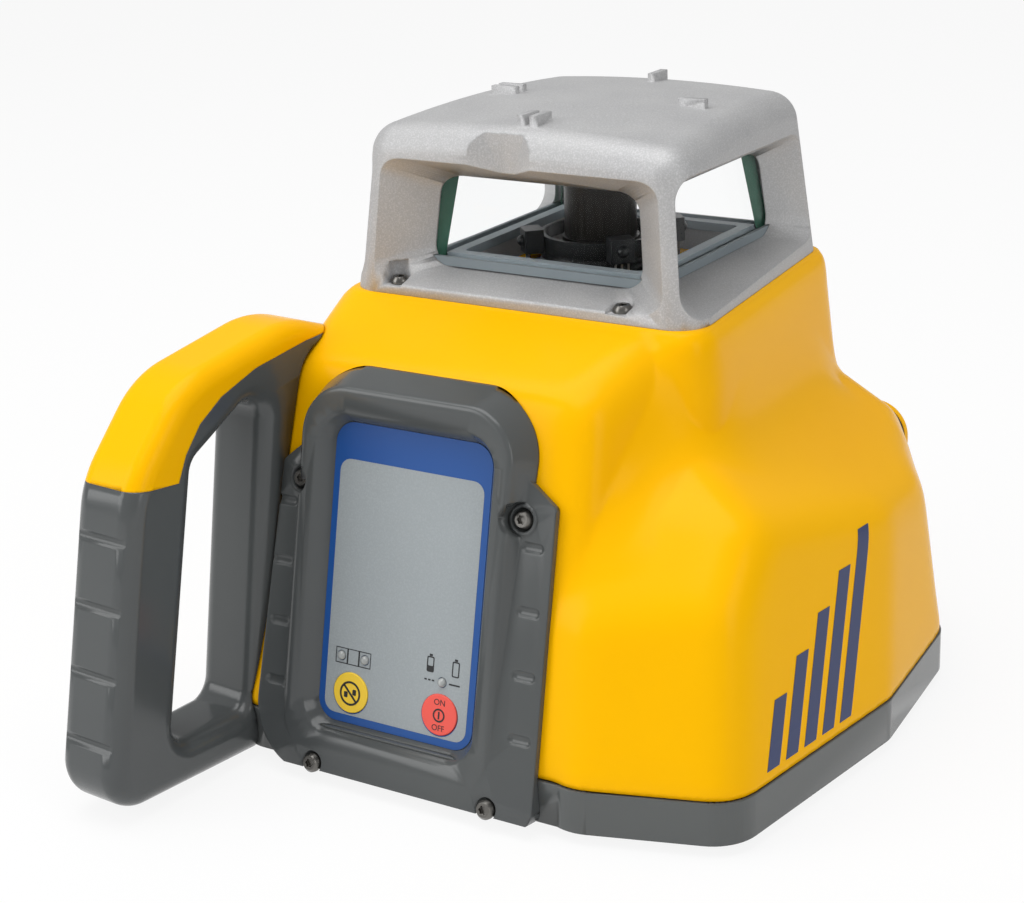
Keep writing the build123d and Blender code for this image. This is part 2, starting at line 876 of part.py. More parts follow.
def glass_low_z():
    return gasket_z() + gasket_height - gasket_groove


def glass_high_z():
    return lighthouse_top_z() - roof_thickness


# Four leaning panes mitred at the corners
def make_panes():
    inner_drop = glass_thickness / cos(radians(glass_lean))
    outer = glass_frustum(glass_half, glass_lean, glass_low_z(), glass_high_z())
    inner = glass_frustum(glass_half - inner_drop, glass_lean, glass_low_z() - 1, glass_high_z() + 1)
    frame = outer - inner
    panes = {}
    names = ("front_window", "right_window", "back_window", "left_window")
    for quarter, name in enumerate(names):
        mitres = []
        for side in (-1, 1):
            origin = Vector(0, -seat_gap / 2, 0).rotate(Axis.Z, 90 * quarter)
            normal = Vector(side, 1, 0).rotate(Axis.Z, 90 * quarter)
            mitres.append(Plane(origin=origin, z_dir=normal))
        panes[name] = carve(frame, mitres)
    return panes


def make_gasket():
    low = gasket_z()
    high = low + gasket_height
    middle = (low + high) / 2
    seal = Pos(0, 0, middle) * Box(2 * gasket_half, 2 * gasket_half, gasket_height)
    inner = well_half - 1.0
    seal -= Pos(0, 0, middle) * Box(2 * inner, 2 * inner, 2 * gasket_height)
    seal = fillet(seal.edges().filter_by(Axis.Z), 2.0)
    groove_out = glass_half + seat_gap
    groove_in = glass_half - glass_thickness / cos(radians(glass_lean)) - seat_gap - gasket_groove * 0.2
    groove_mid = glass_low_z() + gasket_groove
    groove = Pos(0, 0, groove_mid) * Box(2 * groove_out, 2 * groove_out, 2 * gasket_groove)
    groove -= Pos(0, 0, groove_mid) * Box(2 * groove_in, 2 * groove_in, 4 * gasket_groove)
    return seal - groove


def make_lighthouse_screws():
    return [Pos(x, y, screw_seat_z()) * pan_screw(screw_length) for x, y in lighthouse_screw_spots()]


def make_frame_screws():
    screws = []
    for across, up in frame_screw_spots():
        seat = flange_place(across, up) * Pos(0, 0, -screw_sink)
        screws.append(on_panel(seat * pan_screw(screw_length)))
    return screws


# Handle plane: x runs out from the housing's front left corner, y is up, and depth runs to the left
def handle_plane():
    turn = radians(handle_turn)
    return Plane(
        origin=(handle_x, -panel_reach, 0),
        x_dir=(-sin(turn), -cos(turn), 0),
        z_dir=(-cos(turn), sin(turn), 0),
    )


def grip_line(z, depth):
    return handle_reach - depth - handle_slope * (z - handle_low)


def post_line(z):
    return post_reach - post_slope * z


def handle_corners():
    return [
        (-handle_root, handle_low),
        (grip_line(handle_low + handle_kick, 0), handle_low + handle_kick),
        (grip_line(handle_top - elbow_drop, 0), handle_top - elbow_drop),
        (grip_line(handle_top, elbow_drop / 2), handle_top - shoulder_drop),
        (-handle_crest, handle_top),
        (-handle_root - handle_crest, handle_top - 1.6 * shoulder_drop),
    ]


def handle_outline():
    corners = handle_corners()
    face = make_face(Polyline(*corners, close=True))
    for corner, radius in zip(corners[1:5], (heel_r, elbow_r, elbow_r, crest_r)):
        target = face.vertices().sort_by_distance(Vector(corner[0], corner[1], 0))[0]
        face = fillet(target, radius)
    return face


def handle_opening():
    bend_z = opening_high - elbow_drop / 2
    points = [
        (post_line(opening_low), opening_low),
        (grip_line(opening_low, grip_depth), opening_low),
        (grip_line(bend_z, grip_depth), bend_z),
        (post_line(opening_high), opening_high),
    ]
    face = make_face(Polyline(*points, close=True))
    return fillet(face.vertices(), opening_r)


# Room that the handle takes beside the front frame
def handle_block():
    return handle_plane().location * (Pos(0, 0, -cover_gap) * extrude(handle_outline(), handle_width))


# Handle loop as one rounded bar, with its root fitted to the housing
def make_handle(outer_cutter, base_cutter):
    loop = extrude(handle_outline() - handle_opening(), handle_width)
    faces = (loop.faces().sort_by(Axis.Z)[0], loop.faces().sort_by(Axis.Z)[-1])
    rims = [edge for face in faces for edge in face.edges()]
    loop = fillet(rims, handle_edge_r)
    lean = tan(radians(panel_lean))
    behind_panel = make_face(
        Polyline(
            (-root_back, 0),
            (-root_back - lean * root_top, root_top),
            (-3 * root_back - lean * root_top, root_top),
            (-4 * root_back, 0),
            close=True,
        )
    )
    root_face = offset(handle_outline(), -root_inset) & behind_panel
    root = Pos(0, 0, -root_depth) * extrude(root_face, root_depth + handle_width / 2)
    far = handle_reach + handle_root
    cover_face = make_face(
        Polyline(
            (-far, cover_edge + cover_steps[0][1]),
            *[(reach, cover_edge + rise) for reach, rise in cover_steps],
            (cover_nose, cover_low),
            (far, cover_low + cover_tilt),
            (far, 2 * handle_top),
            (-far, 2 * handle_top),
            close=True,
        )
    )
    cutter = Pos(0, 0, -2 * handle_width) * extrude(cover_face, 4 * handle_width)
    place = handle_plane().location
    whole = place * (loop + root) - outer_cutter - base_cutter
    cover = whole & (place * cutter)
    frame = whole - (place * cutter)
    groove = scoop(handle_groove_length, handle_groove_width, handle_groove_depth)
    for index in range(handle_groove_count):
        up = handle_groove_low + index * handle_groove_pitch
        outward = Vector(1, handle_slope, 0)
        spot = Plane(origin=(grip_line(up, 0), up, handle_width / 2), x_dir=(0, 0, 1), z_dir=outward)
        frame -= place * (spot.location * groove)
    for y, z in handle_screw_spots():
        bore = Pos(handle_x - handle_width, y, z) * Rot(0, 90, 0) * screw_hole(2 * handle_width)
        mouth_x = handle_x - 2 * handle_width
        head_bore = rod(screw_head_r + head_room, mouth_x, handle_screw_x(), "x", y=y, z=z)
        frame = frame - bore - head_bore
    return biggest(frame), biggest(cover)


def biggest(shape):
    return shape.solids().sort_by(SortBy.VOLUME)[-1]


def handle_screw_spots():
    return [(handle_screw_back - panel_reach, z) for z in (handle_screw_low, handle_screw_high)]


def handle_screw_x():
    return handle_x - handle_width + handle_screw_sink


def make_handle_screws():
    screws = []
    for y, z in handle_screw_spots():
        screws.append(Pos(handle_screw_x(), y, z) * Rot(0, -90, 0) * pan_screw(handle_screw_length))
    return screws


# Battery side: two tubes, then a collar through the rear wall, closed by a door hinged on its left
def tube_r():
    return cell_r + tube_clearance


def tube_centres():
    low_z = base_bottom_z + pan_floor + tube_wall + tube_r() + seat_gap
    return (low_z, low_z + 2 * tube_r() + tube_wall)


def collar_start_y():
    return rear_reach - collar_depth


def cell_start_y():
    return collar_end_y - spring_length - 2 * cell_length


def tube_end_y():
    return collar_start_y() - cover_gap


def tube_start_y():
    return cell_start_y() - contact_thickness


def collar_block(inset, start, end):
    low_z, high_z = tube_centres()
    half = tube_r() + collar_wall - inset
    sketch = RectangleRounded(2 * half, high_z - low_z + 2 * half, half * 0.6)
    plane = Plane(origin=(tube_x, start, (low_z + high_z) / 2), x_dir=(-1, 0, 0), z_dir=(0, 1, 0))
    return plane.location * extrude(sketch, end - start)


def collar_left_x():
    return tube_x - tube_r() - collar_wall


def battery_collar(keep):
    collar = collar_block(0, collar_start_y(), collar_end_y)
    return split(collar, bisect_by=Plane(origin=(0, 0, seam_z)), keep=keep)


def battery_opening():
    return collar_block(collar_wall - seat_gap, collar_start_y() - 1, collar_end_y + 1)


def make_battery_tubes():
    low_z, high_z = tube_centres()
    span = tube_end_y() - tube_start_y() + tube_wall
    middle_y = (tube_end_y() + tube_start_y() - tube_wall) / 2
    tubes = Pos(tube_x, middle_y, (low_z + high_z) / 2) * Box(tube_r(), span, tube_r())
    for z in tube_centres():
        tubes += rod(tube_r() + tube_wall, tube_start_y() - tube_wall, tube_end_y(), "y", x=tube_x, z=z)
    foot_z = base_bottom_z + pan_floor
    foot_height = low_z - foot_z
    for y in (tube_start_y() + tube_r(), tube_end_y() - tube_r()):
        tubes += Pos(tube_x, y, foot_z + foot_height / 2) * Box(tube_r(), 2 * tube_wall, foot_height)
    for z in tube_centres():
        tubes -= rod(tube_r(), tube_start_y(), tube_end_y() + 1, "y", x=tube_x, z=z)
    return tubes


def make_cells():
    cells = []
    for z in tube_centres():
        for index in range(2):
            low = cell_start_y() + index * cell_length
            high = low + cell_length - seat_gap
            body = rod(cell_r, low, high - cell_nub, "y", x=tube_x, z=z)
            cells.append(body + rod(cell_nub_r, high - cell_nub, high, "y", x=tube_x, z=z))
    return cells


def make_contacts():
    low = tube_start_y()
    high = low + contact_thickness - seat_gap
    return [rod(cell_nub_r * 1.6, low, high, "y", x=tube_x, z=z) for z in tube_centres()]


def door_face_y():
    return collar_end_y + seal_thickness + running_gap


def hinge_centre():
    return (collar_left_x() - door_swing_r - cover_gap, door_face_y() + door_thickness / 2)


def knuckle_rod(low_share, high_share, radius):
    low_z, high_z = tube_centres()
    x, y = hinge_centre()
    height = high_z - low_z
    return cylinder(radius, low_z + low_share * height, low_z + high_share * height, x, y)


# Door knuckle in the middle of the hinge, housing ears above and below it
def make_door():
    plate = collar_block(0, door_face_y(), door_face_y() + door_thickness)
    plate = fillet(plate.faces().sort_by(Axis.Y)[-1].edges(), door_thickness * 0.4)
    x, y = hinge_centre()
    low_z, high_z = tube_centres()
    height = high_z - low_z
    web_end = collar_left_x() + collar_wall
    web = Pos((x + web_end) / 2, y, (low_z + high_z) / 2) * Box(web_end - x, door_thickness / 2, height * 0.5)
    door = plate + knuckle_rod(0.25, 0.75, door_swing_r) + web
    door -= knuckle_rod(-1, 2, hinge_pin_r + running_gap)
    return door - rod(catch_stem_r + running_gap, 0, 2 * door_face_y(), "y", x=tube_x, z=catch_z())


def make_hinge_ears():
    x, y = hinge_centre()
    low_z, high_z = tube_centres()
    height = high_z - low_z
    ears = []
    for low_share, high_share in ((0.0, 0.24), (0.76, 1.0)):
        arm_low = collar_end_y - collar_depth * 0.6
        arm_z = low_z + height * (low_share + high_share) / 2
        arm_height = height * (high_share - low_share)
        arm = Pos(x + cover_gap / 2, (arm_low + y) / 2, arm_z)
        arm = arm * Box(2 * door_swing_r + cover_gap, y - arm_low, arm_height)
        ears.append(arm + knuckle_rod(low_share, high_share, door_swing_r) - knuckle_rod(-1, 2, hinge_pin_r))
    return ears


def make_hinge_pin():
    return knuckle_rod(0.02, 0.98, hinge_pin_r)


def make_door_seal():
    high = collar_end_y + seal_thickness
    outer = collar_block(seat_gap, collar_end_y, high)
    return outer - collar_block(collar_wall - seat_gap, collar_end_y - 1, high + 1)


def make_door_contact():
    low_z, high_z = tube_centres()
    face = door_face_y()
    plate = Pos(tube_x, face - strip_thickness / 2, (low_z + high_z) / 2)
    plate = plate * Box(tube_r(), strip_thickness, high_z - low_z + tube_r() * 0.6)
    plate -= rod(catch_stem_r + cover_gap, 0, 2 * face, "y", x=tube_x, z=catch_z())
    for z in tube_centres():
        cells_end = cell_start_y() + 2 * cell_length
        plate += rod(cell_nub_r, cells_end + cover_gap, face - strip_thickness / 2, "y", x=tube_x, z=z)
    return plate


def catch_z():
    return tube_centres()[1] + tube_r() + collar_wall - catch_r - catch_margin


def make_catch():
    face = door_face_y() + door_thickness + seat_gap
    knob = rod(catch_r, face, face + catch_height, "y", x=tube_x, z=catch_z())
    knob = fillet(knob.faces().sort_by(Axis.Y)[-1].edges(), catch_height * 0.3)
    grip = Box(1.6 * catch_r, catch_height * 0.8, catch_r * 0.35)
    grip = Pos(tube_x, face + catch_height, catch_z()) * grip
    stem = rod(catch_stem_r, door_face_y() - catch_reach, face, "y", x=tube_x, z=catch_z())
    tongue_y = door_face_y() - catch_reach + catch_tongue / 2
    tongue = Pos(tube_x, tongue_y, catch_z()) * Box(catch_stem_r * 1.5, catch_tongue, catch_stem_r * 2.6)
    return knob + grip + stem + tongue


# Works on the rotor axis
def make_gimbal_frame():
    floor_z = base_bottom_z + pan_floor
    bracket = Pos(0, 0, floor_z + bracket_base / 2)
    bracket = bracket * Box(2 * (upright_x + upright_thickness / 2), 2 * upright_width, bracket_base)
    bracket -= cylinder(bush_boss_r + cover_gap, 0, pivot_z / 2)
    top = pivot_z + upright_width / 2
    for side in (-1, 1):
        middle = (floor_z + top) / 2
        upright = Pos(side * upright_x, 0, middle) * Box(upright_thickness, upright_width, top - floor_z)
        bracket += upright
    bracket -= rod(2 * level_screw_r, -2 * upright_x, 0, "x", z=level_z)
    return bracket - rod(gimbal_pin_r, -2 * upright_x, 2 * upright_x, "x", z=pivot_z)


def make_gimbal_ring():
    half = gimbal_ring_height / 2
    body = ring(gimbal_ring_r, gimbal_bore_r, pivot_z - half, pivot_z + half)
    body -= rod(gimbal_pin_r + running_gap, -2 * upright_x, 2 * upright_x, "x", z=pivot_z)
    return body - rod(gimbal_pin_r, -2 * upright_x, 2 * upright_x, "y", z=pivot_z)


def make_outer_pins():
    start = gimbal_bore_r + 1.0
    end = upright_x + upright_thickness / 2
    return [rod(gimbal_pin_r, side * start, side * end, "x", z=pivot_z) for side in (-1, 1)]


def make_inner_pins():
    start = carrier_r - 4
    end = gimbal_ring_r - 1.0
    return [rod(gimbal_pin_r, side * start, side * end, "y", z=pivot_z) for side in (-1, 1)]


def make_carrier():
    low = pivot_z - carrier_height / 2
    high = pivot_z + carrier_height / 2
    carrier = cylinder(carrier_r, low, high)
    carrier += rod(trunnion_r, -trunnion_reach, trunnion_reach, "y", z=pivot_z)
    carrier += cylinder(stem_r, high - 1, carrier_flange_z)
    carrier += cylinder(carrier_flange_r, carrier_flange_z, carrier_flange_z + carrier_flange)
    carrier += cylinder(tail_r, tail_z, low + 1)
    for quarter in range(4):
        post = cylinder(sensor_post_r, carrier_flange_z, sensor_ring_z, sensor_post_radius, 0)
        carrier += Rot(0, 0, 90 * quarter) * post
    carrier -= cylinder(laser_r, tail_z - 1, laser_top_z())
    carrier -= cylinder(spindle_r + 1.0, laser_top_z() - 1, gear_z)
    for low_z in bearing_levels():
        carrier -= cylinder(bearing_r, low_z, low_z + bearing_width)
    carrier -= cylinder(bearing_r, bearing_levels()[1], gear_z)
    motor_x, motor_y = motor_spot()
    carrier -= cylinder(motor_shaft_r + 1.0, carrier_flange_z - 1, gear_z, motor_x, motor_y)
    return carrier - rod(gimbal_pin_r + running_gap, -upright_x, upright_x, "y", z=pivot_z)


def laser_top_z():
    return tail_z + laser_length


def bearing_levels():
    return (laser_top_z() + 5.0, carrier_flange_z + carrier_flange - bearing_width)


def motor_spot():
    centre = gear_module * (gear_teeth + pinion_teeth) / 2 + seat_gap
    return (centre * cos(radians(45)), centre * sin(radians(45)))


def make_laser():
    top = laser_top_z()
    return cylinder(laser_r, tail_z, top) - cylinder(beam_bore_r, top - collimator_depth, top + 1)


def make_collimator():
    return cylinder(beam_bore_r, laser_top_z() - collimator_depth / 2, laser_top_z() - lens_set_back)


def make_bearings():
    return [ring(bearing_r, spindle_r, low, low + bearing_width) for low in bearing_levels()]


# Spur wheel with straight-flanked teeth, drawn as one outline
def spur(teeth, low, high, bore):
    pitch_r = gear_module * teeth / 2
    root_r = pitch_r - 1.25 * gear_module
    tip_r = pitch_r + 0.75 * gear_module
    points = []
    for index in range(teeth):
        for radius, share in ((root_r, -0.30), (tip_r, -0.13), (tip_r, 0.13), (root_r, 0.30)):
            angle = radians(360 * (index + share) / teeth)
            points.append((radius * cos(angle), radius * sin(angle)))
    outline = make_face(Polyline(*points, close=True))
    return Pos(0, 0, low) * extrude(outline, high - low) - cylinder(bore, low - 1, high + 1)


def make_rotor_gear():
    return spur(gear_teeth, gear_z, gear_z + gear_width, spindle_r)


def make_pinion():
    x, y = motor_spot()
    half_tooth = 180 / pinion_teeth
    facing = 225 + half_tooth
    pinion = spur(pinion_teeth, gear_z, gear_z + gear_width, motor_shaft_r)
    shaft = cylinder(motor_shaft_r, carrier_flange_z - 3, gear_z + gear_width)
    return Pos(x, y, 0) * Rot(0, 0, facing) * (pinion + shaft)


def make_rotor_motor():
    x, y = motor_spot()
    top = carrier_flange_z
    motor = cylinder(motor_r, top - motor_length, top, x, y)
    return motor - cylinder(motor_shaft_r + running_gap, top - 4, top + 1, x, y)


def make_rotor_head():
    low = bearing_levels()[0] - 1.0
    shaft = cylinder(spindle_r, low, rotor_head_z)
    head = cylinder(rotor_head_r, rotor_head_z, rotor_head_top)
    head = fillet(head.edges().group_by(Axis.Z)[-1], 1.5)
    rotor = head + shaft
    rotor -= cylinder(beam_bore_r, low - 1, beam_z)
    half = prism_size / 2 + seat_gap
    rotor -= Pos(0, 0, beam_z) * Box(2 * half, 2 * half, 2 * half)
    return rotor - rod(aperture_r, 0, 2 * rotor_head_r, "y", z=beam_z)


def make_prism():
    return Pos(0, 0, beam_z) * Box(prism_size, prism_size, prism_size)


def make_exit_window():
    outer = rotor_head_r - exit_window_sink
    return rod(aperture_r, outer - exit_window_thickness, outer, "y", z=beam_z)


def make_rotor_collar():
    high = rotor_head_z
    return ring(collar_r, spindle_r, high - 1.5, high)


def make_sensor_ring():
    low = sensor_ring_z
    high = low + sensor_ring_height
    body = ring(sensor_ring_r, sensor_bore_r, low + sensor_flange, high)
    groove_z = (low + sensor_flange + high) / 2
    for shift in sensor_groove_levels:
        groove = ring(sensor_ring_r + 1, sensor_ring_r - 0.9, groove_z + shift - 0.5, groove_z + shift + 0.5)
        body -= groove
    body += ring(sensor_ring_r, sensor_ring_r - sensor_rim, high, high + sensor_rim_height)
    body += ring(sensor_flange_r, sensor_bore_r, low, low + sensor_flange)
    return body


def sensor_turns():
    return [45 + 90 * quarter for quarter in range(4)]


def make_sensor_blocks():
    low = sensor_ring_z + sensor_flange
    blocks = []
    for turn in sensor_turns():
        x = sensor_ring_r + sensor_block_size / 2 + seat_gap
        middle = low + sensor_leg_height + sensor_block_height / 2
        block = Pos(x, 0, middle) * Box(sensor_block_size, sensor_block_size * 1.25, sensor_block_height)
        blocks.append(Rot(0, 0, turn) * fillet(block.edges().filter_by(Axis.Z), 0.6))
    return blocks


def make_sensor_domes():
    z = sensor_ring_z + sensor_flange + sensor_leg_height + sensor_block_height / 2
    domes = []
    for turn in sensor_turns():
        x = sensor_ring_r + sensor_block_size + seat_gap
        dome = Pos(x, 0, z) * Sphere(sensor_block_size * 0.3)
        dome = carve(dome, [Plane(origin=(x, 0, z), z_dir=(-1, 0, 0))])
        domes.append(Rot(0, 0, turn) * dome)
    return domes


def make_sensor_legs():
    low = sensor_ring_z + sensor_flange
    legs = []
    for turn in sensor_turns():
        for side in (-1, 0, 1):
            x = sensor_ring_r + sensor_block_size - 1.5
            leg = cylinder(sensor_leg_r, low, low + sensor_leg_height, x, side * sensor_leg_pitch)
            legs.append(Rot(0, 0, turn) * leg)
    return legs


def nut_near():
    return tail_r + level_nut_gap


# The levelling drives stand on the left (-X) and in front (-Y) of the laser's tail
def make_level_nut(along):
    middle = -(nut_near() + level_nut_size / 2)
    place = Pos(middle, 0, level_z) if along == "x" else Pos(0, middle, level_z)
    nut = place * Box(level_nut_size, level_nut_size, level_nut_size)
    return nut - rod(level_screw_r + running_gap, -level_motor_start, 0, along, z=level_z)


def make_level_screw(along):
    near = -(nut_near() + level_nut_size / 3)
    return rod(level_screw_r, seat_gap - level_motor_start, near, along, z=level_z)


def make_level_motors():
    floor_z = base_bottom_z + pan_floor
    height = level_z - floor_z
    far = -(level_motor_start + level_motor_length)
    middle = -(level_motor_start + level_motor_length / 2)
    stand = Box(level_motor_r, level_motor_r, height)
    motors = []
    for along, x, y in (("x", middle, 0), ("y", 0, middle)):
        body = rod(level_motor_r, far, -level_motor_start, along, z=level_z)
        motors.append(body + Pos(x, y, floor_z + height / 2) * stand)
    return motors


def make_main_board():
    low = base_bottom_z + pan_floor
    place = Pos(main_board_x, rear_reach - main_board_inset, low + main_board_size / 2)
    return place * Box(main_board_size, board_thickness, main_board_size)


def build_parts():
    outer = housing_form(0)
    cutter = housing_form(-seat_gap)
    base_cutter = base_form(-seat_gap, -10)
    parts = {
        "upper_housing": make_upper_housing(outer),
        "base_pan": make_base_pan(),
        "front_frame": make_front_frame(cutter, base_cutter),
        "keypad_membrane": make_membrane(),
        "keypad_board": make_keypad_board(),
        "indicator_lenses": make_lenses(),
        "lighthouse": make_lighthouse(),
        "window_gasket": make_gasket(),
        "lighthouse_screws": make_lighthouse_screws(),
        "frame_screws": make_frame_screws(),
        "base_screws": make_base_screws(),
        "handle_screws": make_handle_screws(),
        "rubber_feet": make_feet(),
        "tripod_bush": make_tripod_bush(),
        "battery_tubes": make_battery_tubes(),
        "battery_cells": make_cells(),
        "battery_contacts": make_contacts(),
        "battery_door": make_door(),
        "door_seal": make_door_seal(),
        "door_catch": make_catch(),
        "door_contact": make_door_contact(),
        "door_hinge_pin": make_hinge_pin(),
        "gimbal_frame": make_gimbal_frame(),
        "gimbal_ring": make_gimbal_ring(),
        "outer_gimbal_pins": make_outer_pins(),
        "inner_gimbal_pins": make_inner_pins(),
        "laser_carrier": make_carrier(),
        "laser_module": make_laser(),
        "collimator_lens": make_collimator(),
        "spindle_bearings": make_bearings(),
        "rotor_gear": make_rotor_gear(),
        "motor_pinion": make_pinion(),
        "rotor_motor": make_rotor_motor(),
        "rotor_head": make_rotor_head(),
        "rotor_collar": make_rotor_collar(),
        "penta_prism": make_prism(),
        "exit_window": make_exit_window(),
        "sensor_ring": make_sensor_ring(),
        "sensor_blocks": make_sensor_blocks(),
        "sensor_domes": make_sensor_domes(),
        "sensor_legs": make_sensor_legs(),
        "level_motors": make_level_motors(),
        "level_screw_x": make_level_screw("x"),
        "level_screw_y": make_level_screw("y"),
        "level_nut_x": make_level_nut("x"),
        "level_nut_y": make_level_nut("y"),
        "main_board": make_main_board(),
    }
    for name, across in button_places().items():
        parts[name] = make_button(across)
    parts.update(make_panes())
    frame, cover = make_handle(cutter, base_cutter)
    parts["handle_frame"] = frame
    parts["handle_cover"] = cover
    return parts


os.makedirs("parts", exist_ok=True)
for node, shape in build_parts().items():
    solids = shape if isinstance(shape, list) else [shape]
    export_step(Compound([solid for item in solids for solid in item.solids()]), f"parts/{node}.step")
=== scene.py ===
import json
from math import cos, pi, radians, sin

import bmesh
import bpy
import numpy as np
from mathutils import Matrix, Vector


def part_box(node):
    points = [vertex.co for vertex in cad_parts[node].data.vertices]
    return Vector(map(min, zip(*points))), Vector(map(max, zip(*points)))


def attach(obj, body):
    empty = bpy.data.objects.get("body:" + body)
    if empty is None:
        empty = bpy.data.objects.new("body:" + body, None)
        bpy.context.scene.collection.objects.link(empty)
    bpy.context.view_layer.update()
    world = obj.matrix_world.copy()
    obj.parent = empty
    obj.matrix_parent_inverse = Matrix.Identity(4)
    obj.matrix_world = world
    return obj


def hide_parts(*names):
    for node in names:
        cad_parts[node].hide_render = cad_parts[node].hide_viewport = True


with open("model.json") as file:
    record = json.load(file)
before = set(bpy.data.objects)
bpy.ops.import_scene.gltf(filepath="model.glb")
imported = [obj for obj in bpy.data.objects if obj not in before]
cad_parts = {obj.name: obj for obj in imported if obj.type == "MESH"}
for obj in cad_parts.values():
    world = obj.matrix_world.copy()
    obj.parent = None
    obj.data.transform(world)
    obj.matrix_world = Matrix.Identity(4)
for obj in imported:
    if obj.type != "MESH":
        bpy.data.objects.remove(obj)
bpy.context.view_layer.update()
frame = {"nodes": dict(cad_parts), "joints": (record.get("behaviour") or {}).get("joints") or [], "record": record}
nodes = frame["nodes"]
mm = 0.001
faceLimit = 185000  # triangles in one piece
weldGap = 1e-6  # metres
printWeldGap = 1e-7
follow = 0.5  # how far a free point goes to its neighbours' mean in one round
sharpAngle = 32  # degrees
screwSharpAngle = 38
normalWeight = 80


# Mesh helpers

def addPiece(name, mesh, body, material=None, replaced=()):
    piece = bpy.data.objects.new(name, mesh)
    bpy.context.scene.collection.objects.link(piece)
    if material:
        mesh.materials.clear()
        mesh.materials.append(material)
    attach(piece, body)
    if replaced:
        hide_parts(*replaced)
    return piece


def meshFrom(bm, name):
    mesh = bpy.data.meshes.new(name)
    bm.to_mesh(mesh)
    bm.free()
    return mesh


def pieceName(node):
    return node.title().replace("_", "")


# CAD meshes are loose triangles, so their points are merged first
def mergedNode(node):
    bm = bmesh.new()
    bm.from_mesh(nodes[node].data)
    bmesh.ops.remove_doubles(bm, verts=bm.verts, dist=weldGap)
    return bm


def mergedCopy(node):
    return meshFrom(mergedNode(node), node + "Copy")


def shadeSmooth(mesh, angle=None):
    mesh.polygons.foreach_set("use_smooth", [True] * len(mesh.polygons))
    if angle:
        mesh.set_sharp_from_angle(angle=radians(angle))


# Plain mesh of a curve, or of a mesh after its modifiers
def evaluated(data, setUp=None):
    holder = bpy.data.objects.new("holder", data)
    bpy.context.scene.collection.objects.link(holder)
    if setUp:
        setUp(holder)
    bpy.context.view_layer.update()
    depsgraph = bpy.context.evaluated_depsgraph_get()
    result = bpy.data.meshes.new_from_object(holder.evaluated_get(depsgraph))
    bpy.data.objects.remove(holder)
    return result


def voxelMesh(mesh, voxel):
    def setUp(holder):
        modifier = holder.modifiers.new("voxels", "REMESH")
        modifier.mode = "VOXEL"
        modifier.voxel_size = voxel

    return evaluated(mesh, setUp)


def thinned(mesh, share):
    def setUp(holder):
        modifier = holder.modifiers.new("thin", "DECIMATE")
        modifier.ratio = share

    return evaluated(mesh, setUp)


# Ragged lowest rows are cut off; the new edge is let down to the seam and closed, so it runs straight
def trimmed(mesh, level, rows):
    bm = bmesh.new()
    bm.from_mesh(mesh)
    parts = bm.verts[:] + bm.edges[:] + bm.faces[:]
    cutPlace = (0, 0, level + rows)
    cut = bmesh.ops.bisect_plane(bm, geom=parts, plane_co=cutPlace, plane_no=(0, 0, 1), clear_inner=True)
    rim = [part for part in cut["geom_cut"] if isinstance(part, bmesh.types.BMEdge)]
    for edge in rim:
        for point in edge.verts:
            point.co.z = level
    bmesh.ops.triangle_fill(bm, use_beauty=True, edges=rim, normal=(0, 0, -1))
    return meshFrom(bm, mesh.name + "Trim")


def readPoints(mesh):
    points = np.empty(len(mesh.vertices) * 3)
    mesh.vertices.foreach_get("co", points)
    return points.reshape(-1, 3)


def readNormals(mesh):
    normals = np.empty(len(mesh.vertices) * 3)
    mesh.vertex_normals.foreach_get("vector", normals)
    return normals.reshape(-1, 3)


# Neighbour averaging; free is how far each point may follow, from 0 to 1
def relaxed(points, edges, rounds, free):
    count = len(points)
    ends = np.concatenate([edges[:, 0], edges[:, 1]])
    others = np.concatenate([edges[:, 1], edges[:, 0]])
    valence = np.maximum(np.bincount(ends, minlength=count), 1)
    moved = points.copy()
    for _ in range(rounds):
        sums = [np.bincount(ends, weights=moved[others, axis], minlength=count) for axis in range(3)]
        moved += (np.stack(sums, axis=1) / valence[:, None] - moved) * free
    return moved


# How far each point may move: none at the seams and in kept boxes, more with distance from them
def holdBack(points, look):
    hold = np.ones(len(points))
    for level in look.get("levels", ()):
        gap = np.abs(points[:, 2] - level)
        hold = np.minimum(hold, np.clip((gap - look["pinned"]) / look["fade"], 0, 1))
    for low, high in look.get("keep", ()):
        outside = np.maximum(np.maximum(np.array(low) - points, points - np.array(high)), 0)
        gap = np.linalg.norm(outside, axis=1)
        hold = np.minimum(hold, np.clip(gap / look["fade"], 0, 1))
    return hold[:, None]


# Rows just over the lower seam, smoothed sideways only; the lowest row is left out, as it is cut off later
def evened(points, edges, look):
    height = points[:, 2] - look["levels"][0]
    reach = look["pinned"] + look["fade"]
    near = (height > look["voxel"] * look["lowestRow"]) & (height < reach)
    along = edges[near[edges].all(axis=1)]
    moving = np.unique(along)
    share = np.clip((reach - height) / look["fade"], 0, 1)[:, None]
    share = share * holdBack(points, {"keep": look["keep"], "fade": look["fade"]})
    free = np.zeros((len(points), 3))
    free[moving, :2] = follow * share[moving]
    return relaxed(points, along, look["even"], free)


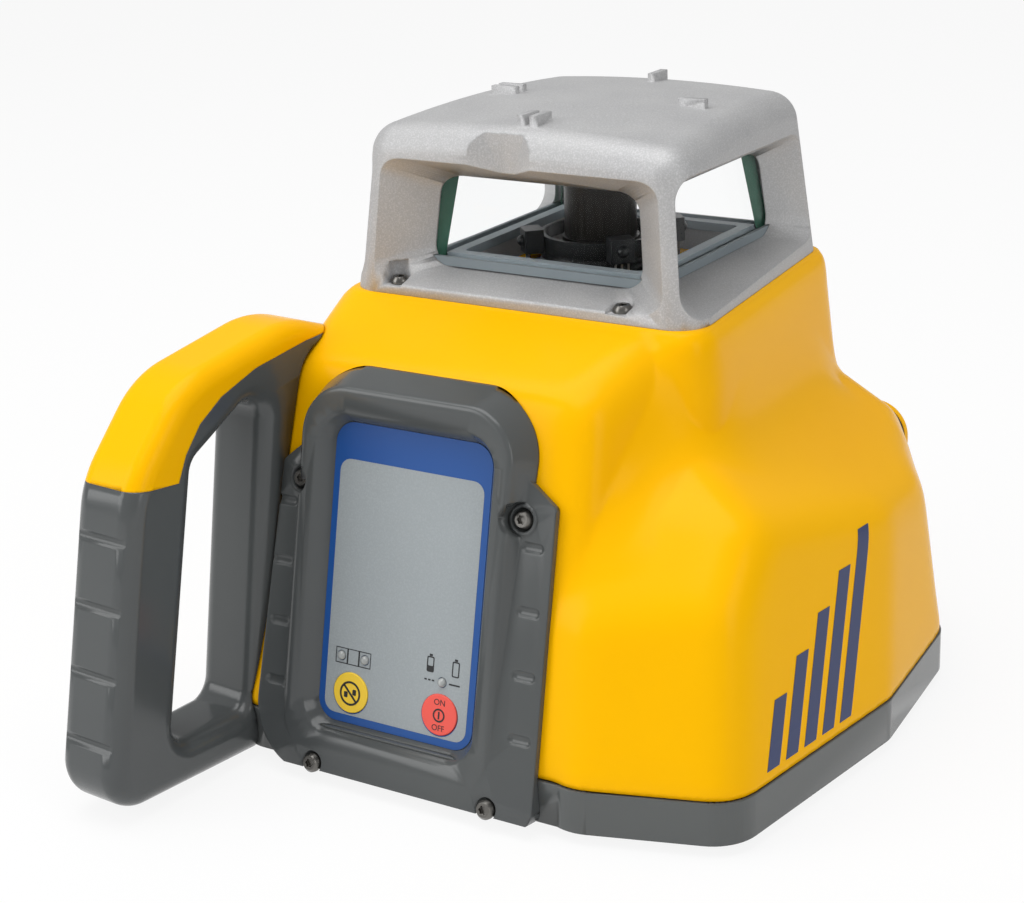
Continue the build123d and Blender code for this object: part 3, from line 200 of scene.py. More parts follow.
# Softened copy of a moulded node: all edges lose their facets, inner corners get a wide blend
def softCopy(node, look):
    mesh = voxelMesh(mergedCopy(node), look["voxel"])
    edges = np.empty(len(mesh.edges) * 2, dtype=np.int64)
    mesh.edges.foreach_get("vertices", edges)
    edges = edges.reshape(-1, 2)
    points = readPoints(mesh)
    free = np.full((len(points), 3), follow)
    for level in look["levels"]:  # seams stay flat
        free[np.abs(points[:, 2] - level) < look["voxel"] * look["seamRows"], 2] = 0.0
    points = relaxed(points, edges, look["soften"], free)
    free = free * holdBack(points, look)
    points = relaxed(points, edges, look["smooth"], free)
    mesh.vertices.foreach_set("co", points.ravel())
    mesh.update()
    wide = relaxed(points, edges, look["blend"], free)
    lift = np.einsum("ij,ij->i", wide - points, readNormals(mesh))
    points = np.where((lift > 0)[:, None], wide, points)
    points = relaxed(points, edges, look["settle"], free)
    points = evened(points, edges, look)
    mesh.vertices.foreach_set("co", points.ravel())
    mesh.update()
    triangles = len(mesh.polygons) * 2
    if triangles > faceLimit:
        mesh = thinned(mesh, faceLimit / triangles)
    mesh = trimmed(mesh, look["trim"], look["voxel"] * look["trimRows"])
    shadeSmooth(mesh)
    print("soft copy", node, len(mesh.polygons), "faces")
    return mesh


# Copy with clean normals: flat faces stay flat, the CAD's rounds stay smooth
def crispCopy(node):
    def setUp(holder):
        modifier = holder.modifiers.new("normals", "WEIGHTED_NORMAL")
        modifier.keep_sharp = True
        modifier.weight = normalWeight

    mesh = mergedCopy(node)
    shadeSmooth(mesh, sharpAngle)
    return evaluated(mesh, setUp)


# Connected bodies of a node, as point arrays in a settled order
def islands(node):
    bm = mergedNode(node)
    left = set(bm.verts)
    groups = []
    while left:
        queue = [left.pop()]
        group = []
        while queue:
            vertex = queue.pop()
            group.append(vertex.co[:])
            for edge in vertex.link_edges:
                other = edge.other_vert(vertex)
                if other in left:
                    left.remove(other)
                    queue.append(other)
        groups.append(np.array(sorted(group)))
    bm.free()
    return sorted(groups, key=lambda group: tuple(group.mean(axis=0).round(5)))


# Node helpers

def geometryTree(name, sockets):
    tree = bpy.data.node_groups.new(name, "GeometryNodeTree")
    tree.interface.new_socket("Geometry", in_out="INPUT", socket_type="NodeSocketGeometry")
    for label, kind in sockets.items():
        tree.interface.new_socket(label, in_out="INPUT", socket_type="NodeSocket" + kind)
    tree.interface.new_socket("Geometry", in_out="OUTPUT", socket_type="NodeSocketGeometry")
    return tree, tree.nodes.new("NodeGroupInput").outputs, tree.nodes.new("NodeGroupOutput")


# A value that is another node's output is linked, anything else is set on the socket
def addNode(tree, kind, settings=None, **values):
    node = tree.nodes.new(kind)
    for label, value in (settings or {}).items():
        setattr(node, label, value)
    for label, value in values.items():
        socket = node.inputs[int(label[1:])] if label[0] == "_" else node.inputs[label.replace("_", " ")]
        for one in value if isinstance(value, list) else [value]:
            if isinstance(one, bpy.types.NodeSocket):
                tree.links.new(one, socket)
            else:
                socket.default_value = one
    return node.outputs


def calculated(tree, operation, first, second):
    return addNode(tree, "ShaderNodeMath", {"operation": operation}, _0=first, _1=second)[0]


# A mesh with a geometry tree run on it; values go by the names of the tree's inputs
def grown(mesh, tree, values):
    def setUp(holder):
        modifier = holder.modifiers.new(tree.name, "NODES")
        modifier.node_group = tree
        for item in tree.interface.items_tree:
            if item.item_type == "SOCKET" and item.in_out == "INPUT" and item.name in values:
                modifier[item.identifier] = values[item.name]

    return evaluated(mesh, setUp)


# Finishes

def srgb(red, green, blue):
    def linear(value):
        value = value / 255
        return value / 12.92 if value <= 0.04045 else ((value + 0.055) / 1.055) ** 2.4

    return (linear(red), linear(green), linear(blue), 1.0)


def groupTree(name, inputs, outputs):
    tree = bpy.data.node_groups.new(name, "ShaderNodeTree")
    for label, value in inputs.items():
        socket = tree.interface.new_socket(label, in_out="INPUT", socket_type="NodeSocketFloat")
        socket.default_value = value
    for label in outputs:
        tree.interface.new_socket(label, in_out="OUTPUT", socket_type="NodeSocketFloat")
    return tree, tree.nodes.new("NodeGroupInput").outputs, tree.nodes.new("NodeGroupOutput")


# Fine moulding or blasting grain, and a broad mottle, in object space
def makeGrainGroup():
    scales = {"Fine Scale": 1500.0, "Broad Scale": 20.0}
    tree, source, sink = groupTree("surfaceGrain", scales, ("Grain", "Mottle"))
    place = addNode(tree, "ShaderNodeTexCoord")["Object"]
    fine = addNode(tree, "ShaderNodeTexNoise", Vector=place, Scale=source["Fine Scale"], Detail=3.0,
                   Roughness=0.6)
    broad = addNode(tree, "ShaderNodeTexNoise", Vector=place, Scale=source["Broad Scale"], Detail=4.0)
    tree.links.new(fine["Fac"], sink.inputs["Grain"])
    tree.links.new(broad["Fac"], sink.inputs["Mottle"])
    return tree


# Thin dust on what faces up
def makeDustGroup():
    leastRise = 0.35  # of the normal's upward share
    tree, source, sink = groupTree("settledDust", {"Patch Scale": 45.0, "Cover": 0.5}, ("Dust",))
    normal = addNode(tree, "ShaderNodeNewGeometry")["Normal"]
    rise = addNode(tree, "ShaderNodeSeparateXYZ", Vector=normal)["Z"]
    upward = addNode(tree, "ShaderNodeMapRange", Value=rise, From_Min=leastRise)["Result"]
    place = addNode(tree, "ShaderNodeTexCoord")["Object"]
    patch = addNode(tree, "ShaderNodeTexNoise", Vector=place, Scale=source["Patch Scale"], Detail=6.0)["Fac"]
    settled = calculated(tree, "MULTIPLY", upward, patch)
    tree.links.new(calculated(tree, "MULTIPLY", settled, source["Cover"]), sink.inputs["Dust"])
    return tree


grainGroup = makeGrainGroup()
dustGroup = makeDustGroup()


def placeGroup(tree, group, **values):
    return addNode(tree, "ShaderNodeGroup", {"node_tree": group}, **values)


def mixColour(tree, factor, first, second):
    return addNode(tree, "ShaderNodeMix", {"data_type": "RGBA"}, Factor=factor, _6=first, _7=second)[2]


def spreadValue(tree, value, low, high, fromLow=0.3, fromHigh=0.7):
    return addNode(tree, "ShaderNodeMapRange", Value=value, From_Min=fromLow, From_Max=fromHigh,
                   To_Min=low, To_Max=high)["Result"]


def newMaterial(name):
    material = bpy.data.materials.new(name)
    material.use_nodes = True
    return material, material.node_tree, material.node_tree.nodes["Principled BSDF"]


solidLook = {
    "ior": 1.46, "specular": 0.5, "mottleScale": 20.0, "bumpDepth": 0.0002, "bevelSamples": 6,
    "speckFrom": 0.46, "speckTo": 0.64, "dustTone": srgb(196, 190, 176), "coatRoughness": 0.1,
}


# One recipe for every solid finish: two close tones, grain, rounded edges and a little dust
def makeFinish(name, ownLook):
    look = {**solidLook, **ownLook}
    material, tree, shader = newMaterial(name)
    shader.inputs["Metallic"].default_value = look.get("metallic", 0.0)
    shader.inputs["IOR"].default_value = look["ior"]
    shader.inputs["Specular IOR Level"].default_value = look["specular"]
    grain = placeGroup(tree, grainGroup, Fine_Scale=look["grainScale"], Broad_Scale=look["mottleScale"])
    mottle = spreadValue(tree, grain["Mottle"], 0.0, 1.0)
    colour = mixColour(tree, mottle, *look["tones"])
    if "speck" in look:
        specks = spreadValue(tree, grain["Grain"], 0.0, look["speckShare"], look["speckFrom"],
                             look["speckTo"])
        colour = mixColour(tree, specks, colour, look["speck"])
    if "dust" in look:
        dust = placeGroup(tree, dustGroup, Cover=look["dust"])
        colour = mixColour(tree, dust["Dust"], colour, look["dustTone"])
    tree.links.new(colour, shader.inputs["Base Color"])
    tree.links.new(spreadValue(tree, grain["Mottle"], *look["roughness"]), shader.inputs["Roughness"])
    relief = {"Strength": look["bump"], "Distance": look["bumpDepth"], "Height": grain["Grain"]}
    if "edge" in look:
        bevel = addNode(tree, "ShaderNodeBevel", {"samples": look["bevelSamples"]}, Radius=look["edge"])
        relief["Normal"] = bevel["Normal"]
    tree.links.new(addNode(tree, "ShaderNodeBump", **relief)["Normal"], shader.inputs["Normal"])
    if "coat" in look:
        shader.inputs["Coat Weight"].default_value = look["coat"]
        shader.inputs["Coat Roughness"].default_value = look["coatRoughness"]
    return material


finishes = {
    "yellowMoulding": {
        "tones": (srgb(247, 181, 0), srgb(251, 187, 1)), "grainScale": 2200.0, "mottleScale": 9.0,
        "roughness": (0.2, 0.26), "bump": 0.02, "dust": 0.01, "specular": 0.07, "edge": 0.0008,
    },
    "greyMoulding": {
        "tones": (srgb(74, 77, 78), srgb(80, 83, 83)), "grainScale": 1800.0, "mottleScale": 14.0,
        "roughness": (0.16, 0.22), "bump": 0.03, "edge": 0.0008,
    },
    "baseMoulding": {
        "tones": (srgb(84, 87, 87), srgb(89, 92, 92)), "grainScale": 1800.0, "mottleScale": 14.0,
        "roughness": (0.18, 0.22), "bump": 0.03, "edge": 0.0008,
    },
    "castAluminium": {
        "tones": (srgb(171, 171, 172), srgb(179, 179, 179)), "grainScale": 2000.0, "mottleScale": 40.0,
        "roughness": (0.5, 0.58), "bump": 0.22, "metallic": 0.35, "specular": 0.3,
        "speck": srgb(210, 210, 211), "speckShare": 0.45, "edge": 0.0006,
    },
    "sealRubber": {
        "tones": (srgb(120, 130, 136), srgb(134, 144, 149)), "grainScale": 1600.0, "roughness": (0.5, 0.62),
        "bump": 0.08, "dust": 0.1,
    },
    "blackRubber": {
        "tones": (srgb(26, 26, 27), srgb(34, 34, 34)), "grainScale": 1400.0, "roughness": (0.6, 0.75),
        "bump": 0.12, "dust": 0.12,
    },
    "panelBlue": {
        "tones": (srgb(20, 76, 148), srgb(26, 82, 154)), "grainScale": 1700.0, "roughness": (0.34, 0.4),
        "bump": 0.06, "dust": 0.04,
    },
    "panelGrey": {
        "tones": (srgb(150, 157, 160), srgb(155, 162, 165)), "grainScale": 1700.0, "roughness": (0.4, 0.46),
        "bump": 0.08, "speck": srgb(172, 178, 181), "speckShare": 0.35,
    },
    "printBlack": {
        "tones": (srgb(30, 31, 33), srgb(38, 39, 41)), "grainScale": 1500.0, "roughness": (0.42, 0.5),
        "bump": 0.05,
    },
    "keyRed": {
        "tones": (srgb(236, 84, 72), srgb(240, 92, 80)), "grainScale": 1500.0, "roughness": (0.38, 0.44),
        "bump": 0.06, "dust": 0.04,
    },
    "keyYellow": {
        "tones": (srgb(240, 200, 52), srgb(244, 206, 62)), "grainScale": 1500.0, "roughness": (0.38, 0.44),
        "bump": 0.06, "dust": 0.04,
    },
    "navyFilm": {
        "tones": (srgb(30, 46, 92), srgb(34, 51, 99)), "grainScale": 1500.0, "roughness": (0.3, 0.36),
        "bump": 0.03,
    },
    "blackMoulding": {
        "tones": (srgb(16, 18, 19), srgb(22, 24, 25)), "grainScale": 1300.0, "roughness": (0.3, 0.4),
        "bump": 0.06, "specular": 0.3, "edge": 0.0003,
    },
    "rotorMetal": {
        "tones": (srgb(33, 31, 29), srgb(38, 36, 33)), "grainScale": 1200.0, "roughness": (0.34, 0.44),
        "bump": 0.06, "metallic": 0.5,
    },
    "paleCollar": {
        "tones": (srgb(128, 127, 124), srgb(138, 137, 134)), "grainScale": 1400.0, "roughness": (0.4, 0.5),
        "bump": 0.06, "specular": 0.3,
    },
    "paneEdge": {
        "tones": (srgb(48, 88, 72), srgb(64, 104, 88)), "grainScale": 700.0, "mottleScale": 60.0,
        "roughness": (0.15, 0.25), "bump": 0.05,
    },
    "lampDome": {
        "tones": (srgb(150, 153, 152), srgb(166, 169, 168)), "grainScale": 1500.0, "roughness": (0.08, 0.14),
        "bump": 0.02, "coat": 1.0,
    },
    "darkSteel": {
        "tones": (srgb(104, 102, 99), srgb(122, 120, 116)), "grainScale": 1500.0, "roughness": (0.22, 0.34),
        "bump": 0.05, "metallic": 1.0, "edge": 0.0003,
    },
    "platedSteel": {
        "tones": (srgb(176, 174, 170), srgb(190, 188, 184)), "grainScale": 1500.0, "roughness": (0.2, 0.32),
        "bump": 0.05, "metallic": 1.0,
    },
    "turnedAluminium": {
        "tones": (srgb(196, 197, 198), srgb(208, 208, 208)), "grainScale": 1400.0, "roughness": (0.24, 0.34),
        "bump": 0.05, "metallic": 1.0,
    },
    "machinedBrass": {
        "tones": (srgb(196, 160, 86), srgb(208, 172, 98)), "grainScale": 1400.0, "roughness": (0.22, 0.32),
        "bump": 0.04, "metallic": 1.0,
    },
    "solderMask": {
        "tones": (srgb(20, 84, 48), srgb(26, 96, 56)), "grainScale": 900.0, "roughness": (0.3, 0.4),
        "bump": 0.1,
    },
    "cellWrap": {
        "tones": (srgb(52, 54, 60), srgb(60, 62, 68)), "grainScale": 1200.0, "roughness": (0.28, 0.36),
        "bump": 0.04,
    },
}
finish = {name: makeFinish(name, look) for name, look in finishes.items()}
clearGrain = {"Fine_Scale": 300.0, "Broad_Scale": 25.0}


# Clear finishes: the tint varies a little over the surface, transmission stays plain
def makeClear(name, tones, roughness, ior):
    material, tree, shader = newMaterial(name)
    shader.inputs["Transmission Weight"].default_value = 1.0
    shader.inputs["IOR"].default_value = ior
    grain = placeGroup(tree, grainGroup, **clearGrain)
    mottle = spreadValue(tree, grain["Mottle"], 0.0, 1.0)
    tree.links.new(mixColour(tree, mottle, *tones), shader.inputs["Base Color"])
    tree.links.new(spreadValue(tree, grain["Mottle"], *roughness), shader.inputs["Roughness"])
    shadowRay = addNode(tree, "ShaderNodeLightPath")["Is Shadow Ray"]
    clear = addNode(tree, "ShaderNodeBsdfTransparent")["BSDF"]
    mix = addNode(tree, "ShaderNodeMixShader", Fac=shadowRay, _1=shader.outputs["BSDF"], _2=clear)["Shader"]
    tree.links.new(mix, tree.nodes["Material Output"].inputs["Surface"])
    return material


clearLooks = {
    "clearPane": {"tones": (srgb(255, 255, 255), srgb(254, 255, 255)), "roughness": (0.0, 0.01), "ior": 1.1},
    "opticGlass": {"tones": (srgb(250, 252, 253), srgb(244, 249, 252)), "roughness": (0.0, 0.02), "ior": 1.5},
}
for name, look in clearLooks.items():
    finish[name] = makeClear(name, **look)
print("finishes", len(finish))

slotFinish = {
    "yellow_plastic": "yellowMoulding", "grey_plastic": "greyMoulding", "cast_aluminium": "castAluminium",
    "window_glass": "clearPane", "grey_rubber": "sealRubber", "black_rubber": "blackRubber",
    "panel_print": "panelBlue", "red_key": "keyRed", "yellow_key": "keyYellow", "lamp_lens": "lampDome",
    "black_plastic": "blackMoulding", "rotor_grey": "rotorMetal", "steel": "platedSteel",
    "brass": "machinedBrass", "circuit_board": "solderMask", "cell_wrap": "cellWrap",
    "machined_aluminium": "turnedAluminium", "optic_glass": "opticGlass",
}
nodeSlot = {row["node"]: row["material_slot"] for row in frame["record"]["subparts"]}
for node, piece in nodes.items():
    piece.data.materials.clear()
    piece.data.materials.append(finish[slotFinish[nodeSlot[node]]])

# Housing: softened; pieces with rounds: clean normals
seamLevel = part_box("upper_housing")[0].z
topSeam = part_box("upper_housing")[1].z
doorLow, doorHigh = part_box("battery_door")
doorRoom = Vector((14 * mm, 24 * mm, 14 * mm))
doorZone = (doorLow - doorRoom, doorHigh + doorRoom)
housingLook = {
    "voxel": 1.15 * mm, "soften": 5, "smooth": 60, "blend": 420, "settle": 3, "even": 16,
    "levels": (seamLevel, topSeam), "pinned": 3 * mm, "fade": 9 * mm, "keep": (doorZone,),
    "seamRows": 1.2, "lowestRow": 0.5, "trim": seamLevel + 0.5 * mm, "trimRows": 0.8,
}
crispNodes = {
    "base_pan": "housing", "front_frame": "housing", "handle_frame": "housing", "handle_cover": "housing",
    "lighthouse": "housing", "indicator_lenses": "housing", "rotor_head": "rotor", "sensor_domes": "carrier",
    "power_button": "power_key", "manual_button": "manual_key",
}


def dressNode(node, mesh, body):
    slot = nodeSlot[node]
    return addPiece(pieceName(node), mesh, body, finish[slotFinish[slot]], (node,))


housing = dressNode("upper_housing", softCopy("upper_housing", housingLook), "housing")
for node, body in crispNodes.items():
    piece = dressNode(node, crispCopy(node), body)
    if node == "base_pan":
        piece.data.materials[0] = finish["baseMoulding"]
print("shells", 1 + len(crispNodes))

# Window panes: clear faces, green ground edges
paneNames = ("front_window", "right_window", "back_window", "left_window")
paneEdgeFlat = 0.85  # faces turned further than this from the pane's own direction are edges
for node in paneNames:
    mesh = mergedCopy(node)
    low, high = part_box(node)
    outward = Vector((low.x + high.x, low.y + high.y, 0)).normalized()
    mesh.materials.clear()
    mesh.materials.append(finish["clearPane"])
    mesh.materials.append(finish["paneEdge"])
    for face in mesh.polygons:
        face.material_index = 0 if abs(face.normal.dot(outward)) > paneEdgeFlat else 1
    addPiece(pieceName(node), mesh, "housing", None, (node,))
print("panes", len(paneNames))

# Sensor ring: black, with the pale collar's face inside its rim
ringLook = {"inside": 18.8 * mm, "floorDrop": 6 * mm, "upward": 0.9}
mesh = crispCopy("sensor_ring")
mesh.materials.clear()
mesh.materials.append(finish["blackMoulding"])
mesh.materials.append(finish["paleCollar"])
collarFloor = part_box("sensor_ring")[1].z - ringLook["floorDrop"]
for face in mesh.polygons:
    spot = face.center
    isInside = Vector((spot.x, spot.y)).length < ringLook["inside"]
    isFloor = face.normal.z > ringLook["upward"] and spot.z > collarFloor
    face.material_index = 1 if isFloor and isInside else 0
addPiece("SensorRing", mesh, "carrier", None, ("sensor_ring",))
nodes["rotor_collar"].data.materials[0] = finish["rotorMetal"]

# Panel axes: across, up along the keypad and out of it, from the middle of the membrane's lower edge
pressAxis = next(joint["axis"] for joint in frame["joints"] if joint["name"] == "power_press")
panelOut = -Vector(pressAxis).normalized()
panelUp = Vector((0, panelOut.z, -panelOut.y))
sheetLow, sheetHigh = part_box("keypad_membrane")
sheetThickness = 0.8 * mm
panelFoot = Vector((
    (sheetLow.x + sheetHigh.x) / 2, sheetLow.y, sheetLow.z + sheetThickness * panelOut.z))
panelPlace = Matrix((
    (1, panelUp.x, panelOut.x, panelFoot.x),
    (0, panelUp.y, panelOut.y, panelFoot.y),
    (0, panelUp.z, panelOut.z, panelFoot.z),
    (0, 0, 0, 1),
))
offPanel = panelPlace.inverted()


# Place on the panel, in millimetres
def panelSpot(point):
    spot = offPanel @ point
    return spot.x / mm, spot.y / mm


def keySpot(node):
    low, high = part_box(node)
    return panelSpot((low + high) / 2)


def panelLift(node):
    return max((offPanel @ vertex.co).z for vertex in nodes[node].data.vertices) / mm


def roundRect(left, low, right, high, radius, steps=6):
    points = []
    corners = ((right - radius, high - radius, 0), (left + radius, high - radius, 90),
               (left + radius, low + radius, 180), (right - radius, low + radius, 270))
    for x, y, start in corners:
        for step in range(steps + 1):
            angle = radians(start + 90 * step / steps)
            points.append((x + radius * cos(angle), y + radius * sin(angle)))
    return points


def circle(x, y, radius, steps=32):
    turns = [2 * pi * step / steps for step in range(steps)]
    return [(x + radius * cos(turn), y + radius * sin(turn)) for turn in turns]


def box(left, low, right, high):
    return [(left, low), (right, low), (right, high), (left, high)]


# Thin printed layer on the panel: outlines in millimetres, each with its holes
def printSheet(shapes, lift, thickness):
    bm = bmesh.new()
    for outline, holes in shapes:
        edges = []
        for ring in [outline] + holes:
            verts = [bm.verts.new((x * mm, y * mm, lift * mm)) for x, y in ring]
            edges += [bm.edges.new((verts[index - 1], verts[index])) for index in range(len(verts))]
        filled = bmesh.ops.triangle_fill(bm, use_beauty=True, edges=edges)["geom"]
        faces = [item for item in filled if isinstance(item, bmesh.types.BMFace)]
        raised = bmesh.ops.extrude_face_region(bm, geom=faces, use_keep_orig=True)["geom"]
        top = [item for item in raised if isinstance(item, bmesh.types.BMVert)]
        bmesh.ops.translate(bm, verts=top, vec=(0, 0, thickness * mm))
    bmesh.ops.recalc_face_normals(bm, faces=bm.faces)
    bmesh.ops.transform(bm, matrix=panelPlace, verts=bm.verts)
    return meshFrom(bm, "printSheet")


def wordMesh(word, x, y, lift, size, thickness):
    curve = bpy.data.curves.new(word, "FONT")
    curve.body = word
    curve.size = size * mm
    curve.align_x = "CENTER"
    curve.align_y = "CENTER"
    curve.extrude = thickness * mm / 2
    mesh = evaluated(curve)
    mesh.transform(panelPlace @ Matrix.Translation((x * mm, y * mm, lift * mm)))
    return mesh


def joinedMesh(meshes, name):
    bm = bmesh.new()
    for mesh in meshes:
        bm.from_mesh(mesh)
    bmesh.ops.remove_doubles(bm, verts=bm.verts, dist=printWeldGap)
    return meshFrom(bm, name)


def bar(x0, y0, x1, y1, width):
    run = Vector((x1 - x0, y1 - y0)).normalized() * (width / 2)
    side = (-run.y, run.x)
    return [(x0 + side[0], y0 + side[1]), (x0 - side[0], y0 - side[1]),
            (x1 - side[0], y1 - side[1]), (x1 + side[0], y1 + side[1])]


# Panel print, in millimetres
panelPrint = {
    "thickness": 0.06, "fieldHalf": 27.0, "fieldLow": 2.6, "fieldHigh": 85.0, "fieldCorner": 4.0,
    "keyRadius": 6.6, "keyGap": 0.25, "lensRadius": 1.5, "lensGap": 0.2, "lensSteps": 20,
}
lampBoxLook = {"cell": 4.6, "high": 5.2, "stroke": 0.55}
batteryLook = {
    "wide": 2.7, "high": 5.0, "apart": 4.7, "rise": 5.0, "corner": 0.5, "wall": 0.4, "charge": 2.0,
    "coreCorner": 0.3, "cornerSteps": 3, "tipGap": 0.1, "tipTop": 0.8, "tipWide": 1.1,
    "dash": 0.9, "dashStarts": (6.6, 5.2, 3.8), "lineStart": 2.6, "lineEnd": 6.6, "stroke": 0.5,
}
powerLook = {
    "ring": 2.2, "ringSteps": 28, "stroke": 0.55, "stemShare": 0.55, "word": 2.7, "wordRise": 4.1,
}
manualLook = {
    "ring": 4.0, "ringSteps": 36, "stroke": 0.7, "barShare": 0.62, "near": 0.9, "far": 2.3, "low": 0.4,
    "high": 1.5, "corner": 0.3, "cornerSteps": 3,
}


# Grey field with holes for the keys and the lamps
def fieldShapes(look, keys, lamps):
    holes = [circle(x, y, look["keyRadius"] + look["keyGap"]) for x, y in keys]
    holes += [circle(x, y, look["lensRadius"] + look["lensGap"], look["lensSteps"]) for x, y in lamps]
    edge = roundRect(-look["fieldHalf"], look["fieldLow"], look["fieldHalf"], look["fieldHigh"],
                     look["fieldCorner"])
    return [(edge, holes)]


# Three cells in a row: one round each lamp of the pair, one between them
def lampBoxShapes(look, pair):
    low = pair[0][1] - look["high"] / 2
    high = pair[0][1] + look["high"] / 2
    inset = look["stroke"] / 2
    walls = [x + side * look["cell"] / 2 for x, y in pair for side in (-1, 1)]
    cells = [box(left + inset, low + inset, right - inset, high - inset)
             for left, right in zip(walls, walls[1:])]
    return [(box(walls[0], low, walls[-1], high), cells)]


# A low and an empty battery over the lamp, a dashed and a plain line beside it
def batteryShapes(look, x, y):
    low = y + look["rise"] - look["high"] / 2
    high = low + look["high"]
    half = look["wide"] / 2
    shapes = []
    for side, charge in ((-1, look["charge"]), (1, look["wall"])):
        middle = x + side * look["apart"]
        outer = roundRect(middle - half, low, middle + half, high, look["corner"], look["cornerSteps"])
        core = roundRect(middle - half + look["wall"], low + charge, middle + half - look["wall"],
                         high - look["wall"], look["coreCorner"], look["cornerSteps"])
        tip = bar(middle, high + look["tipGap"], middle, high + look["tipTop"], look["tipWide"])
        shapes += [(outer, [core]), (tip, [])]
    shapes += [(bar(x - start, y, x - start + look["dash"], y, look["stroke"]), [])
               for start in look["dashStarts"]]
    shapes.append((bar(x + look["lineStart"], y, x + look["lineEnd"], y, look["stroke"]), []))
    return shapes


def ringShape(look, x, y):
    hole = circle(x, y, look["ring"] - look["stroke"], look["ringSteps"])
    return circle(x, y, look["ring"], look["ringSteps"]), [hole]


# Power sign: a stem in a ring
def powerShapes(look, x, y):
    stem = look["ring"] * look["stemShare"]
    return [ringShape(look, x, y), (bar(x, y - stem, x, y + stem, look["stroke"]), [])]


# Barred turning head: ring, slanted bar and the two halves of the head
def manualShapes(look, x, y):
    slope = look["ring"] * look["barShare"]
    rounding = (look["corner"], look["cornerSteps"])
    return [
        ringShape(look, x, y),
        (bar(x - slope, y + slope, x + slope, y - slope, look["stroke"]), []),
        (roundRect(x - look["far"], y - look["high"], x - look["near"], y + look["low"], *rounding), []),
        (roundRect(x + look["near"], y - look["low"], x + look["far"], y + look["high"], *rounding), []),
    ]


ink = panelPrint["thickness"]
powerKey = keySpot("power_button")
manualKey = keySpot("manual_button")
lampSpots = sorted(panelSpot(Vector(group.mean(axis=0))) for group in islands("indicator_lenses"))
fieldMesh = printSheet(fieldShapes(panelPrint, (powerKey, manualKey), lampSpots), 0, ink)
addPiece("PanelField", fieldMesh, "housing", finish["panelGrey"])
marks = lampBoxShapes(lampBoxLook, lampSpots[:2]) + batteryShapes(batteryLook, *lampSpots[2])
addPiece("PanelMarks", printSheet(marks, ink, ink), "housing", finish["printBlack"])

keyTop = panelLift("power_button")
words = [wordMesh(word, powerKey[0], powerKey[1] + rise, keyTop + ink / 2, powerLook["word"], ink)
         for word, rise in (("ON", powerLook["wordRise"]), ("OFF", -powerLook["wordRise"]))]
powerMesh = joinedMesh([printSheet(powerShapes(powerLook, *powerKey), keyTop, ink)] + words, "powerMarks")
addPiece("PowerKeyMarks", powerMesh, "power_key", finish["printBlack"])
manualMesh = printSheet(manualShapes(manualLook, *manualKey), panelLift("manual_button"), ink)
addPiece("ManualKeyMarks", manualMesh, "manual_key", finish["printBlack"])
print("panel print")


